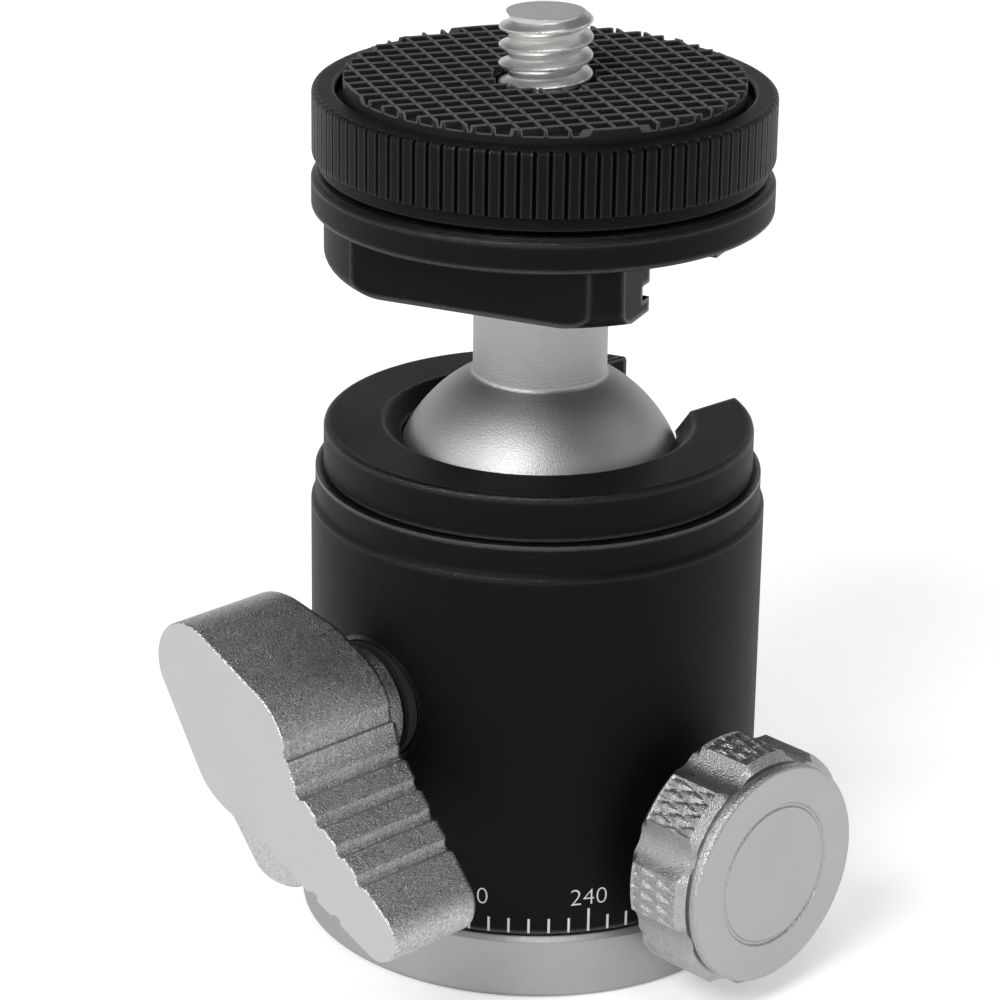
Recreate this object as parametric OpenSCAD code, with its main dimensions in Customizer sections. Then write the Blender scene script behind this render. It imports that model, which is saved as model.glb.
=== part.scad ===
// Compact ball head for cameras and lights.
// The origin is the centre of the foot's underside and +Z runs up the pan axis.
// The main knob points along -X, the pan knob along -Y and the drop notch about along +X.

/* [Clearances and travel] */
// Radial clearance of a turning or sliding piece in its bore
run_gap = 0.05; // [0.03:0.01:0.08]
// Clearance between flat faces that slide or turn past each other
face_gap = 0.1; // [0.06:0.01:0.2]
// Turn of the main knob from slack to tight in degrees
main_tighten = 150; // [90:5:180]
// Turn of the main knob from slack to loose in degrees
main_loosen = 360; // [180:5:420]
// Turn of the pan knob from slack to tight in degrees
pan_tighten = 90; // [45:5:120]

/* [Foot] */
// Diameter of the foot at its underside
foot_d = 33.2; // [32:0.1:40]
// Diameter of the foot at its top edge
foot_top_d = 32; // [31:0.1:38]
// Height of the foot's visible disc
foot_h = 4.45; // [3.5:0.05:7]
// Chamfer on the foot's edges
foot_chamfer = 0.35; // [0.1:0.05:0.6]
// Diameter of the bore that turns on the foot's spigot
pan_bore_d = 20; // [17:0.1:21]
// Depth of the bore that turns on the foot's spigot
pan_bore_h = 8; // [7.6:0.05:8.6]
// Depth of the V groove in the spigot
groove_depth = 1.2; // [0.8:0.05:1.4]
// Width of the slip ring between foot and housing
slip_ring_w = 3; // [2:0.1:4]
// Thickness of the slip ring
slip_ring_t = 0.5; // [0.3:0.05:0.8]
// Height of the seam between foot and housing
pan_seam = 0.15; // [0.1:0.01:0.25]

/* [Threads] */
// Crest diameter of the quarter inch thread
stud_d = 6.35; // [5:0.05:7]
// Root diameter of the quarter inch thread
stud_root_d = 5.1; // [4:0.05:5.3]
// Pitch of the quarter inch thread
stud_pitch = 1.27; // [1:0.01:1.5]
// Outside diameter of the tripod bush
bush_d = 9.525; // [8.5:0.005:12]
// Height of the tripod bush
bush_h = 7; // [5:0.1:9]

/* [Housing] */
// Wall of the housing around the ball's chamber
housing_wall = 4.1; // [3.8:0.05:4.8]
// Gap between the ball and the wall of its chamber
chamber_gap = 1.25; // [1.1:0.05:1.6]
// Chamfer on the housing's edges
housing_chamfer = 0.3; // [0.1:0.05:0.5]
// Height of the ball's centre above the foot's underside
ball_h = 30.8; // [30.4:0.1:33]
// Height of the chamfered step at the top of the housing
step_h = 0.45; // [0.3:0.05:0.6]
// Step in from the housing's side to the band above it
band_inset = 0.3; // [0.1:0.05:0.5]
// Height of the band above the step
band_h = 1.95; // [1.5:0.05:3]

/* [Collar] */
// Step in from the housing's side to the collar
collar_inset = 0.45; // [0.2:0.05:0.8]
// Height of the collar above the band
collar_h = 3.25; // [2.8:0.05:3.6]
// Gap between the ball's widest ring and the collar's mouth at its top face
mouth_gap = 0.3; // [0.1:0.05:0.9]
// Height of the cone in the collar's mouth
mouth_h = 1.15; // [0.8:0.05:1.4]
// Wall of the housing around the collar's skirt
skirt_wall = 2.65; // [2:0.05:3]
// Depth of the collar's skirt in the housing
skirt_h = 4.8; // [3.5:0.1:5.5]
// Radius of the collar's top edge
collar_edge = 0.35; // [0.1:0.05:0.6]
// Width of the drop notch
notch_w = 11.2; // [10:0.1:12.4]
// Direction of the drop notch about the pan axis
notch_turn = -2; // [-5:0.5:5]

/* [Ball and stem] */
// Diameter of the ball
ball_d = 21; // [20:0.1:21.4]
// Diameter of the stem
stem_d = 9.3; // [8:0.1:9.8]
// Height of the stem's top above the ball's centre
stem_rise = 17.2; // [16.9:0.1:20]
// Thickness of the liner under the ball
liner_t = 0.55; // [0.4:0.05:0.6]

/* [Main lock] */
// Height of the main screw above the foot's underside
main_axis_h = 20; // [19.5:0.05:20.3]
// Gap between the housing's side and the main knob's back
main_knob_gap = 1.95; // [1.7:0.05:3]
// Thickness of the main knob from back to face
main_knob_t = 9.8; // [8:0.1:12]
// Radius of the main knob's round hub
hub_r = 5.1; // [4.5:0.1:5.6]
// Distance from the hub to the centre of the short wing's end
short_wing = 6.6; // [5:0.1:8]
// Radius of the short wing's end
short_end_r = 3.2; // [2.5:0.1:3.6]
// Distance from the hub to the centre of the long wing's end
long_wing = 16.1; // [13:0.1:18]
// Radius of the long wing's end
long_end_r = 1.85; // [1.4:0.05:2.4]
// Radius of the long wing where it leaves the hub
long_root_r = 3.4; // [2.8:0.1:3.8]
// Depth of the ribs on the long wing
rib_depth = 0.4; // [0.2:0.05:0.6]
// Distance from the hub to the centre of the heel's end
heel_reach = 9.2; // [7:0.1:10]
// Radius of the heel's end
heel_end_r = 1.75; // [1.2:0.05:2.4]
// Diameter of the main clamp screw
main_screw_d = 5; // [4:0.1:5.4]
// Pitch of the main clamp screw
main_pitch = 0.8; // [0.5:0.05:1]
// Width of the wedge pusher
pusher_w = 6; // [5:0.1:7]
// Diameter of the boss between knob and housing
main_boss_d = 8.2; // [7:0.1:9]
// Slope of the wedge in degrees
wedge_slope = 15; // [12:0.5:16]

/* [Pan lock] */
// Height of the pan screw above the foot's underside
pan_axis_h = 10.1; // [9.8:0.1:10.2]
// Gap between the housing's side and the pan knob's back
pan_knob_gap = 1.75; // [1.4:0.05:2.5]
// Thickness of the pan knob from back to face
pan_knob_t = 6; // [5:0.1:8]
// Diameter of the pan knob's face disc
pan_face_d = 15.6; // [13:0.1:16.5]
// Diameter across the pan knob's knurled lands
pan_land_d = 17; // [16.6:0.1:18.4]
// Diameter of the boss between pan knob and housing
pan_boss_d = 6.6; // [5.5:0.1:8]
// Pitch of the pan clamp screw
pan_pitch = 0.7; // [0.5:0.05:1]
// Height of the face disc in front of the lands
pan_face_step = 0.8; // [0.5:0.05:1.5]
// Number of flutes round the pan knob
flute_count = 8; // [6:1:12]
// Radius of the pan knob's flutes
flute_r = 2; // [1.2:0.1:2.4]
// Diameter of the pan clamp screw
pan_screw_d = 4; // [3:0.1:4.4]
// Diameter of the retaining screws
keeper_d = 3; // [2:0.1:3.4]

/* [Platform] */
// Turn of the platform about the pan axis in degrees
platform_turn = 22; // [0:1:90]
// Diameter of the flange
flange_d = 31.5; // [30:0.1:33]
// Height of the flange
flange_h = 2.45; // [2:0.05:3.5]
// Chamfer on the flange's top edge
flange_chamfer = 0.4; // [0.1:0.05:0.8]
// Step in from the flange's side to the block under it
block_inset = 0.85; // [0.4:0.05:1.5]
// Height of the block under the flange
block_h = 4.2; // [3.5:0.05:5]
// Radius of the block's round lower edge
block_edge = 1.2; // [0.5:0.1:2]
// Width between the block's flats
block_w = 24.4; // [22:0.1:26]
// Distance of the block's end face from the axis
block_end = 10.4; // [9.5:0.1:12]
// Width of the channel in the block
channel_w = 12.5; // [11:0.1:13.5]
// Distance of the channel's inner end from the axis
channel_end = 5.6; // [5.2:0.1:6]
// Depth of the undercut in each side of the channel
undercut = 1.2; // [0.6:0.1:1.6]
// Thickness of the lip below the undercut
lip_t = 1; // [0.8:0.05:1.4]
// Height of the undercut in each side of the channel
undercut_h = 1; // [0.6:0.05:1.6]

/* [Lock disc] */
// Step in from the flange's side to the knurled disc
disc_inset = 0.05; // [0:0.05:0.5]
// Height of the knurled disc above its neck
disc_h = 4.6; // [4:0.05:6]
// Step in from the knurl to the smooth neck below it
neck_inset = 0.5; // [0.35:0.05:1]
// Height of the smooth neck below the knurl
neck_h = 0.95; // [0.6:0.05:1.5]
// Height of the seam between flange and disc
disc_seam = 0.2; // [0.15:0.01:0.3]
// Number of knurl grooves
knurl_count = 96; // [60:1:110]
// Depth of the knurl grooves
knurl_depth = 0.3; // [0.1:0.05:0.4]
// Width of the disc's raised rim
rim_w = 1.6; // [1:0.1:2]
// Depth of the pad's recess in the disc
rim_h = 0.9; // [0.5:0.05:1.2]
// Gap between the disc's rim and the rubber pad
pad_gap = 0.5; // [0.2:0.05:1]
// Thickness of the rubber pad
pad_t = 1.75; // [1.4:0.05:2.5]
// Gap between the stud and the pad's hole
pad_hole_gap = 0.4; // [0.2:0.05:0.8]
// Height of the stud above the pad
stud_rise = 4.35; // [3:0.05:6]
// Outside diameter of the threaded insert
insert_d = 10; // [8.5:0.1:12]
// Outside diameter of the disc's slip washer
washer_d = 16; // [13:0.1:18]
// Thickness of the disc's slip washer
washer_t = 0.4; // [0.3:0.05:0.6]

/* [Hidden] */
$fn = 96;
// Overrun of every cut, so that no cut ends on a face
over = 1;
// Colours as the photograph shows them
black_c = "#1b1b1d";
silver_c = "#c9cacb";
steel_c = "#9a9c9e";
nylon_c = "#e9e6dc";
brass_c = "#b8924a";
rubber_c = "#141415";

// Diameters of the housing and of what is screwed into it, from the ball outwards
chamber_d = ball_d + 2 * chamber_gap;
housing_d = chamber_d + 2 * housing_wall;
band_d = housing_d - 2 * band_inset;
collar_d = housing_d - 2 * collar_inset;
skirt_d = band_d - 2 * skirt_wall;
mouth_d = ball_d + 2 * mouth_gap;
seat_ring_d = chamber_d + 2 * face_gap;
// Diameters of the block, of the lock disc and of its pad, from the flange inwards
block_d = flange_d - 2 * block_inset;
disc_d = flange_d - 2 * disc_inset;
neck_d = disc_d - 2 * neck_inset;
rim_d = disc_d - 2 * rim_w;
pad_d = rim_d - 2 * pad_gap;

// Heights of the turned pieces, from the foot upwards
housing_z = foot_h + pan_seam;
web_z = housing_z + pan_bore_h;
spigot_z = web_z - pan_seam;
ball_r = ball_d / 2;
liner_r = ball_r + run_gap + liner_t;
wedge_tan = tan(wedge_slope);
// Feed of each screw, and the lift and drop of the seat on its wedge
main_feed = main_pitch * main_tighten / 360;
main_retreat = main_pitch * main_loosen / 360;
pan_feed = pan_pitch * pan_tighten / 360;
seat_lift = main_feed * wedge_tan;
seat_drop = main_retreat * wedge_tan;
seat_bowl_r = liner_r + seat_lift + face_gap;
// Wall left between the lower seat's bowl and its wedge channel
seat_wall = 1.55;
// Thickness of the pusher at its thin end
pusher_thin = 1.2;
roof_z = ball_h - seat_bowl_r - seat_wall;
// Reach of the pusher to both sides of the pan axis, as shares of the chamber's radius
pusher_front_share = 0.62;
pusher_back_share = 0.86;
pusher_front = pusher_front_share * chamber_d / 2;
pusher_back = pusher_back_share * chamber_d / 2;
floor_z = roof_z - wedge_tan * pusher_front - face_gap - pusher_thin - run_gap;
seat_z = floor_z + seat_drop + face_gap;
// Drop of the seat's rim below the ball's centre, as a share of the ball's radius
seat_rim_share = 0.63;
seat_top_z = ball_h - seat_rim_share * ball_r;
// Height of the housing's shoulder above the ball's centre
shoulder_rise = 0.15;
shoulder_z = ball_h + shoulder_rise;
band_z = shoulder_z + step_h;
collar_z = band_z + band_h;
collar_top_z = collar_z + collar_h;
// Heights of the platform and of what sits on it
block_z = ball_h + stem_rise;
flange_z = block_z + block_h;
flange_top_z = flange_z + flange_h;
disc_z = flange_top_z + disc_seam;
knurl_z = disc_z + neck_h;
disc_top_z = knurl_z + disc_h;
pad_z = disc_top_z - rim_h;
pad_top_z = pad_z + pad_t;
stud_top_z = pad_top_z + stud_rise;

// Widths of the thread's flats at its crests and roots, as shares of the pitch
crest_flat_share = 0.25;
root_flat_share = 0.25;
// Depth of the stud in the stem
stud_depth = 5.6;
// Chamfer at the stud's end
stud_nose = 0.45;
stud_nose_d = stud_root_d - 2 * run_gap;
stud_clear_d = stud_d + 2 * run_gap;
// Below the pad's top the thread is drawn as a shank of its pitch diameter
stud_shank_d = (stud_d + stud_root_d) / 2;

// Radius at the bottom of the spigot's groove
groove_r = pan_bore_d / 2 - run_gap - groove_depth;

// Spot faces in the housing, washers and screw ends
main_spot_depth = 0.65;
pan_spot_depth = 0.5;
main_spot_x = housing_d / 2 - main_spot_depth;
main_back_x = housing_d / 2 + main_knob_gap;
main_face_x = main_back_x + main_knob_t;
main_washer_d = 8.4;
main_washer_t = 0.7;
// Diameter of the main screw's point and length of its slope, as shares of the screw's diameter
main_point_share = 0.48;
main_slope_share = 0.32;
main_point_d = main_point_share * main_screw_d;
pusher_tab_t = 1.2;
pusher_tab_z = main_axis_h + main_point_d / 2 + face_gap;
main_tip_x = pusher_back + run_gap;
main_shoulder_x = main_tip_x + main_slope_share * main_screw_d;
main_boss_x = main_spot_x + run_gap + main_washer_t + main_feed + face_gap;
pan_spot_y = housing_d / 2 - pan_spot_depth;
pan_back_y = housing_d / 2 + pan_knob_gap;
pan_face_y = pan_back_y + pan_knob_t;
pan_washer_d = 7.2;
pan_washer_t = 0.5;
brake_l = 0.6;
pan_boss_y = pan_spot_y + run_gap + pan_washer_t + pan_feed + face_gap;
// Flat of the brake pad's nose, as a share of the groove's depth
brake_flat_share = 0.3;
brake_flat_r = brake_flat_share * groove_depth;
brake_tip_y = groove_r + brake_flat_r + pan_feed + face_gap;
brake_nose_l = pan_screw_d / 2 - brake_flat_r;
brake_back_y = brake_tip_y + brake_nose_l + brake_l;
keeper_angles = [30, 150];
keeper_sink = 0.5;
// Sizes of the keeper screw's socket and point, as shares of the screw's diameter and the groove's depth
keeper_socket_share = 0.55;
keeper_point_share = 0.25;
keeper_socket_d = keeper_socket_share * keeper_d;
keeper_point_r = keeper_point_share * groove_depth;
collar_screw_d = 2;
collar_screw_angle = 60;

// Half of the notch's width, and the height at which its round bottom is centred
notch_r = notch_w / 2;
notch_rise = 0.3;
notch_centre_z = ball_h + notch_rise;
// Height of the upper seat ring and of its underside above the ball's centre
seat_ring_h = 2.8;
seat_ring_rise = 0.8;
seat_ring_z = ball_h + seat_ring_rise;
// Depth of the liner's rim below the ball's centre, as a share of the ball's radius
liner_rim_share = 0.585;
// Reach of the wedge's channel in the lower seat, as a share of the chamber's radius
wedge_channel_share = 0.8;
// Depth of the screws' bores in the knobs, as a share of the knobs' thickness
knob_bore_share = 0.6;

// Turn of each wing about the main screw, in the knob's own plane
short_wing_angle = 39.5;
long_wing_angle = 211.8;
heel_angle = 262;
// Place of the long wing's root, as an angle and as a share of the wing's length
long_root_angle = 226;
long_root_share = 0.225;
rib_count = 5;
// Stretch of the flank that the ribs cover, as shares of its length
rib_shares = [0.12, 0.82];
// Slopes of the wings' backs and of the heel's front, in degrees, and the way that the heel leans
short_back_lean = 15;
long_back_lean = 10;
heel_lean = 30;
heel_lean_turn = 225;
// Turn from the heel to the line where its front starts to lean back
heel_start_turn = 15;
// Distance of the line where the wings' backs start to lean, as a share of the hub's radius
back_lean_share = 0.85;
// Number of steps in each round end of an outline, in each rib and in the collar's edge
arc_steps = 14;
rib_steps = 6;
edge_steps = 4;
// Chamfer under the collar's side, as a share of its edge's radius
collar_foot_share = 0.33;
// Chamfers of the pan knob's lands and face, as shares of the steps that carry them
land_edge_share = 0.8;
face_edge_share = 0.33;
// Width of a knurl land, as a share of the knurl's pitch
knurl_land_share = 0.62;

// Turns its children about the pan axis to a side of the housing, drawn along +X
module at_side(angle, z) {
  translate([0, 0, z]) rotate([0, 0, angle]) rotate([0, 90, 0]) children();
}

// Points of an arc about a centre
function arc(centre, r, from, to, steps) =
  [for (i = [0:steps]) let (a = from + (to - from) * i / steps) centre + r * [cos(a), sin(a)]];

// Turned disc with chamfered edges
module chamfered_disc(d, h, bottom, top) {
  rotate_extrude() polygon([[0, 0], [d / 2 - bottom, 0], [d / 2, bottom], [d / 2, h - top],
    [d / 2 - top, h], [0, h]]);
}

module base_foot() {
  spigot_r = pan_bore_d / 2 - run_gap;
  slip_r = spigot_r + slip_ring_w + run_gap;
  color(silver_c) difference() {
    rotate_extrude() polygon([
      [0, 0], [foot_d / 2 - foot_chamfer, 0], [foot_d / 2, foot_chamfer],
      [foot_top_d / 2, foot_h - foot_chamfer], [foot_top_d / 2 - foot_chamfer, foot_h],
      [slip_r, foot_h], [slip_r, foot_h - slip_ring_t], [spigot_r, foot_h - slip_ring_t],
      [spigot_r, pan_axis_h - groove_depth], [groove_r, pan_axis_h],
      [spigot_r, pan_axis_h + groove_depth], [spigot_r, spigot_z], [0, spigot_z]]);
    translate([0, 0, -over]) cylinder(d = bush_d, h = bush_h + over);
    cylinder(d = stud_clear_d, h = bush_h + stud_pitch);
  }
}

module tripod_bush() {
  slot_w = stud_pitch;
  slot_h = stud_pitch / 2;
  color(steel_c) difference() {
    cylinder(d = bush_d, h = bush_h);
    translate([0, 0, -over]) cylinder(d = stud_root_d, h = bush_h + 2 * over);
    translate([-bush_d, -slot_w / 2, -over]) cube([2 * bush_d, slot_w, slot_h + over]);
  }
}

module pan_slip_ring() {
  inner_r = pan_bore_d / 2;
  height = slip_ring_t + pan_seam - run_gap;
  color(nylon_c) translate([0, 0, foot_h - slip_ring_t]) difference() {
    cylinder(r = inner_r - run_gap + slip_ring_w, h = height);
    translate([0, 0, -over]) cylinder(r = inner_r, h = height + 2 * over);
  }
}

// Slot of the drop notch, round at the bottom and open at the top
module notch_cut(half_w, from_r) {
  length = housing_d;
  rotate([0, 0, notch_turn]) translate([from_r, 0, notch_centre_z]) {
    rotate([0, 90, 0]) cylinder(r = half_w, h = length);
    translate([0, -half_w, 0]) cube([length, 2 * half_w, stem_rise]);
  }
}

module housing() {
  main_hole_d = main_screw_d + 2 * run_gap;
  pan_hole_d = pan_screw_d + 2 * run_gap;
  r = housing_d / 2;
  c = housing_chamfer;
  color(black_c) difference() {
    rotate_extrude() polygon([
      [0, housing_z], [r - c, housing_z], [r, housing_z + c], [r, shoulder_z],
      [band_d / 2, band_z], [band_d / 2, collar_z], [0, collar_z]]);
    translate([0, 0, housing_z - over]) cylinder(d = pan_bore_d, h = pan_bore_h + over);
    translate([0, 0, floor_z]) cylinder(d = chamber_d, h = collar_z);
    translate([0, 0, collar_z - skirt_h]) cylinder(d = skirt_d, h = skirt_h + over);
    notch_cut(notch_r, ball_r / 2);
    at_side(180, main_axis_h) {
      translate([0, 0, ball_r / 2]) cylinder(d = main_hole_d, h = r);
      translate([0, 0, main_spot_x]) cylinder(d = main_washer_d + 2 * face_gap, h = r);
    }
    at_side(270, pan_axis_h) {
      translate([0, 0, groove_r]) cylinder(d = pan_hole_d, h = r);
      translate([0, 0, pan_spot_y]) cylinder(d = pan_washer_d + 2 * face_gap, h = r);
    }
    for (angle = keeper_angles) at_side(angle, pan_axis_h)
      translate([0, 0, groove_r]) cylinder(d = keeper_d, h = r);
    at_side(collar_screw_angle, band_z + band_h / 2)
      translate([0, 0, skirt_d / 2 - over]) cylinder(d = collar_screw_d, h = r);
  }
}

module housing_keeper_screws() {
  tip_r = groove_r + keeper_point_r;
  cone_h = keeper_d / 2 - keeper_point_r;
  length = housing_d / 2 - keeper_sink - tip_r;
  color(steel_c) for (angle = keeper_angles) at_side(angle, pan_axis_h)
    translate([0, 0, tip_r]) difference() {
      rotate_extrude() polygon([
        [0, 0], [keeper_point_r - run_gap, 0], [keeper_d / 2 - run_gap, cone_h],
        [keeper_d / 2 - run_gap, pan_bore_d / 2 - tip_r], [keeper_d / 2, pan_bore_d / 2 - tip_r],
        [keeper_d / 2, length], [0, length]]);
      translate([0, 0, length - keeper_d / 2]) cylinder(d = keeper_socket_d, h = keeper_d, $fn = 6);
    }
}

module collar() {
  r = collar_d / 2;
  e = collar_edge;
  foot_e = collar_foot_share * collar_edge;
  lip_rise = collar_top_z - mouth_h - ball_h;
  lip_r = sqrt(pow(ball_r + face_gap, 2) - pow(lip_rise, 2));
  seat_top = seat_ring_z + seat_ring_h;
  color(black_c) difference() {
    rotate_extrude() polygon(concat(
      [[0, collar_z - skirt_h], [skirt_d / 2, collar_z - skirt_h], [skirt_d / 2, collar_z],
       [r - foot_e, collar_z], [r, collar_z + foot_e]],
      arc([r - e, collar_top_z - e], e, 0, 90, edge_steps),
      [[mouth_d / 2, collar_top_z], [lip_r, collar_top_z - mouth_h], [0, collar_top_z - mouth_h]]));
    translate([0, 0, ball_h]) sphere(r = ball_r + face_gap);
    translate([0, 0, collar_z - skirt_h - over])
      cylinder(d = seat_ring_d, h = seat_top - collar_z + skirt_h + over);
    notch_cut(notch_r, ball_r / 2);
  }
}

module collar_lock_screw() {
  from = skirt_d / 2;
  to = band_d / 2 - keeper_sink / 2;
  color(steel_c) at_side(collar_screw_angle, band_z + band_h / 2) translate([0, 0, from]) difference() {
    cylinder(d = collar_screw_d, h = to - from);
    translate([0, 0, (to - from) / 2]) cylinder(d = collar_screw_d / 2, h = to, $fn = 6);
  }
}

module upper_seat() {
  color(nylon_c) difference() {
    translate([0, 0, seat_ring_z]) cylinder(d = seat_ring_d, h = seat_ring_h);
    translate([0, 0, ball_h]) sphere(r = ball_r + run_gap);
    notch_cut(notch_r + face_gap, ball_r / 2);
  }
}

// Outline of the wedge seen along Y: its roof falls towards +X
module wedge_side(top_z, bottom_z, back, front) {
  rotate([90, 0, 0]) linear_extrude(height = pusher_w + 2 * over, center = true)
    polygon([[-back, bottom_z], [front, bottom_z], [front, top_z - wedge_tan * front],
      [-back, top_z + wedge_tan * back]]);
}

module lower_seat() {
  channel = pusher_w + 2 * face_gap;
  tab_front = pusher_back - pusher_tab_t - main_feed - face_gap;
  tab_top = pusher_tab_z + seat_drop + face_gap;
  screw_front = main_shoulder_x - main_feed - face_gap;
  screw_top = main_axis_h + main_screw_d / 2 + seat_drop + face_gap;
  color(steel_c) difference() {
    translate([0, 0, seat_z]) cylinder(d = chamber_d - 2 * run_gap, h = seat_top_z - seat_z);
    translate([0, 0, ball_h]) sphere(r = seat_bowl_r);
    intersection() {
      wedge_side(roof_z, seat_z - over, chamber_d, wedge_channel_share * chamber_d / 2);
      translate([-chamber_d, -channel / 2, 0]) cube([2 * chamber_d, channel, ball_h]);
    }
    translate([-chamber_d, -channel / 2, seat_z - over])
      cube([chamber_d - tab_front, channel, tab_top - seat_z + over]);
    translate([-chamber_d, -channel / 2, seat_z - over])
      cube([chamber_d - screw_front, channel, screw_top - seat_z + over]);
  }
}

module wedge_pusher() {
  bottom = floor_z + run_gap;
  color(steel_c) {
    intersection() {
      wedge_side(roof_z - face_gap, bottom, pusher_back, pusher_front);
      translate([-chamber_d, -pusher_w / 2, bottom])
        cube([2 * chamber_d, pusher_w, pusher_tab_z - bottom]);
    }
    translate([-pusher_back, -pusher_w / 2, bottom])
      cube([pusher_tab_t, pusher_w, pusher_tab_z - bottom]);
  }
}

module main_clamp_screw() {
  root = main_back_x + knob_bore_share * main_knob_t;
  color(steel_c) at_side(180, main_axis_h) {
    translate([0, 0, main_tip_x]) cylinder(d = main_point_d, h = main_shoulder_x - main_tip_x + over);
    translate([0, 0, main_shoulder_x]) cylinder(d = main_screw_d, h = root - main_shoulder_x);
  }
}

// Angles of the two lines that touch both circles on the same side, seen from the first circle
function tangent_angles(c1, r1, c2, r2) =
  let (heading = atan2(c2[1] - c1[1], c2[0] - c1[0]), lean = acos((r1 - r2) / norm(c2 - c1)))
  [heading - lean, heading + lean];

// Outline round two circles
module two_circles(c1, r1, c2, r2) {
  a = tangent_angles(c1, r1, c2, r2);
  polygon(concat(arc(c2, r2, a[0], a[1], arc_steps), arc(c1, r1, a[1], a[0] + 360, 2 * arc_steps)));
}

// Points along a flank, drawn in by a rib's depth in each hollow between two ribs
function ribbed(a, b) =
  let (d = (b - a) / norm(b - a), n = [d[1], -d[0]], span = rib_shares[1] - rib_shares[0],
    m = rib_count * rib_steps)
  [for (i = [0:m]) a + (b - a) * (rib_shares[0] + span * i / m)
    - n * rib_depth / 2 * (1 - cos(360 * rib_count * i / m))];

// Place at an angle and a distance from the knob's hub
function from_hub(angle, reach) = reach * [cos(angle), sin(angle)];

// Removes all that stands in front of a plane that leans back from a line across the knob
module lean_cut(place, z, turn, lean) {
  size = 2 * (long_wing + hub_r);
  translate([place[0], place[1], z]) rotate([0, 0, turn]) rotate([0, -lean, 0])
    translate([-size / 2, -size / 2, -size]) cube(size);
}

module main_knob() {
  thick = main_knob_t;
  bore = knob_bore_share * thick;
  boss_l = main_back_x - main_boss_x;
  short_end = from_hub(short_wing_angle, short_wing);
  long_end = from_hub(long_wing_angle, long_wing);
  long_root = from_hub(long_root_angle, long_wing * long_root_share);
  heel_end = from_hub(heel_angle, heel_reach);
  heel_start = from_hub(heel_angle + heel_start_turn, hub_r);
  flank = tangent_angles(long_root, long_root_r, long_end, long_end_r);
  // The knob is drawn with +X along the pan screw's side and its face down, then stood on its axis
  color(silver_c) translate([-main_back_x, 0, main_axis_h]) rotate([90, 0, 90]) difference() {
    union() {
      cylinder(d = main_boss_d, h = boss_l);
      translate([0, 0, -thick]) linear_extrude(height = thick) union() {
        two_circles([0, 0], hub_r, short_end, short_end_r);
        polygon(concat(
          arc(long_end, long_end_r, flank[0], flank[1], arc_steps),
          ribbed(long_end + long_end_r * [cos(flank[1]), sin(flank[1])],
            long_root + long_root_r * [cos(flank[1]), sin(flank[1])]),
          arc(long_root, long_root_r, flank[1], flank[0] + 360, arc_steps),
          ribbed(long_root + long_root_r * [cos(flank[0]), sin(flank[0])],
            long_end + long_end_r * [cos(flank[0]), sin(flank[0])])));
      }
      difference() {
        translate([0, 0, -thick]) linear_extrude(height = thick)
          two_circles(long_root, long_root_r, heel_end, heel_end_r);
        lean_cut(heel_start, -thick, heel_lean_turn, heel_lean);
      }
    }
    mirror([0, 0, 1]) for (wing = [[short_wing_angle, short_back_lean], [long_wing_angle, long_back_lean]])
      lean_cut(from_hub(wing[0], back_lean_share * hub_r), 0, wing[0], wing[1]);
    translate([0, 0, -bore]) cylinder(d = main_screw_d, h = bore + boss_l + over);
  }
}

module main_knob_washer() {
  color(nylon_c) at_side(180, main_axis_h) translate([0, 0, main_spot_x + run_gap]) difference() {
    cylinder(d = main_washer_d, h = main_washer_t);
    translate([0, 0, -over]) cylinder(d = main_screw_d + 2 * run_gap, h = main_washer_t + 2 * over);
  }
}

module pan_clamp_screw() {
  root = pan_back_y + knob_bore_share * pan_knob_t;
  color(steel_c) at_side(270, pan_axis_h) translate([0, 0, brake_back_y + run_gap])
    cylinder(d = pan_screw_d, h = root - brake_back_y - run_gap);
}

module pan_knob() {
  thick = pan_knob_t;
  land_h = thick - pan_face_step;
  bore = knob_bore_share * thick;
  boss_l = pan_back_y - pan_boss_y;
  flute_step = 360 / flute_count;
  land_edge = land_edge_share * (pan_land_d - pan_face_d) / 2;
  face_edge = face_edge_share * pan_face_step;
  color(silver_c) at_side(270, pan_axis_h) translate([0, 0, pan_back_y]) difference() {
    union() {
      difference() {
        chamfered_disc(pan_land_d, land_h, land_edge, land_edge);
        for (i = [0:flute_count - 1]) rotate([0, 0, flute_step * i + flute_step / 2])
          translate([pan_face_d / 2 + flute_r, 0, -over]) cylinder(r = flute_r, h = thick);
      }
      chamfered_disc(pan_face_d, thick, face_edge, face_edge);
      translate([0, 0, -boss_l]) cylinder(d = pan_boss_d, h = boss_l + land_edge);
    }
    translate([0, 0, -boss_l - over]) cylinder(d = pan_screw_d, h = bore + boss_l + over);
  }
}

module pan_knob_washer() {
  color(nylon_c) at_side(270, pan_axis_h) translate([0, 0, pan_spot_y + run_gap]) difference() {
    cylinder(d = pan_washer_d, h = pan_washer_t);
    translate([0, 0, -over]) cylinder(d = pan_screw_d + 2 * run_gap, h = pan_washer_t + 2 * over);
  }
}

module pan_brake_pad() {
  r = pan_screw_d / 2;
  color(nylon_c) at_side(270, pan_axis_h) translate([0, 0, brake_tip_y]) rotate_extrude()
    polygon([[0, 0], [brake_flat_r, 0], [r, brake_nose_l], [r, brake_nose_l + brake_l],
      [0, brake_nose_l + brake_l]]);
}

module ball_liner() {
  rim = liner_rim_share * ball_r;
  color(nylon_c) translate([0, 0, ball_h]) difference() {
    sphere(r = liner_r);
    sphere(r = ball_r + run_gap);
    translate([0, 0, -rim]) cylinder(r = ball_d, h = ball_d);
  }
}

module ball_stem() {
  color(silver_c) difference() {
    union() {
      translate([0, 0, ball_h]) sphere(d = ball_d);
      translate([0, 0, ball_h]) cylinder(d = stem_d, h = stem_rise - face_gap / 2);
    }
    translate([0, 0, block_z - stud_depth - face_gap])
      cylinder(d = stud_shank_d + 2 * run_gap, h = stud_depth + over);
  }
}

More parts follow.
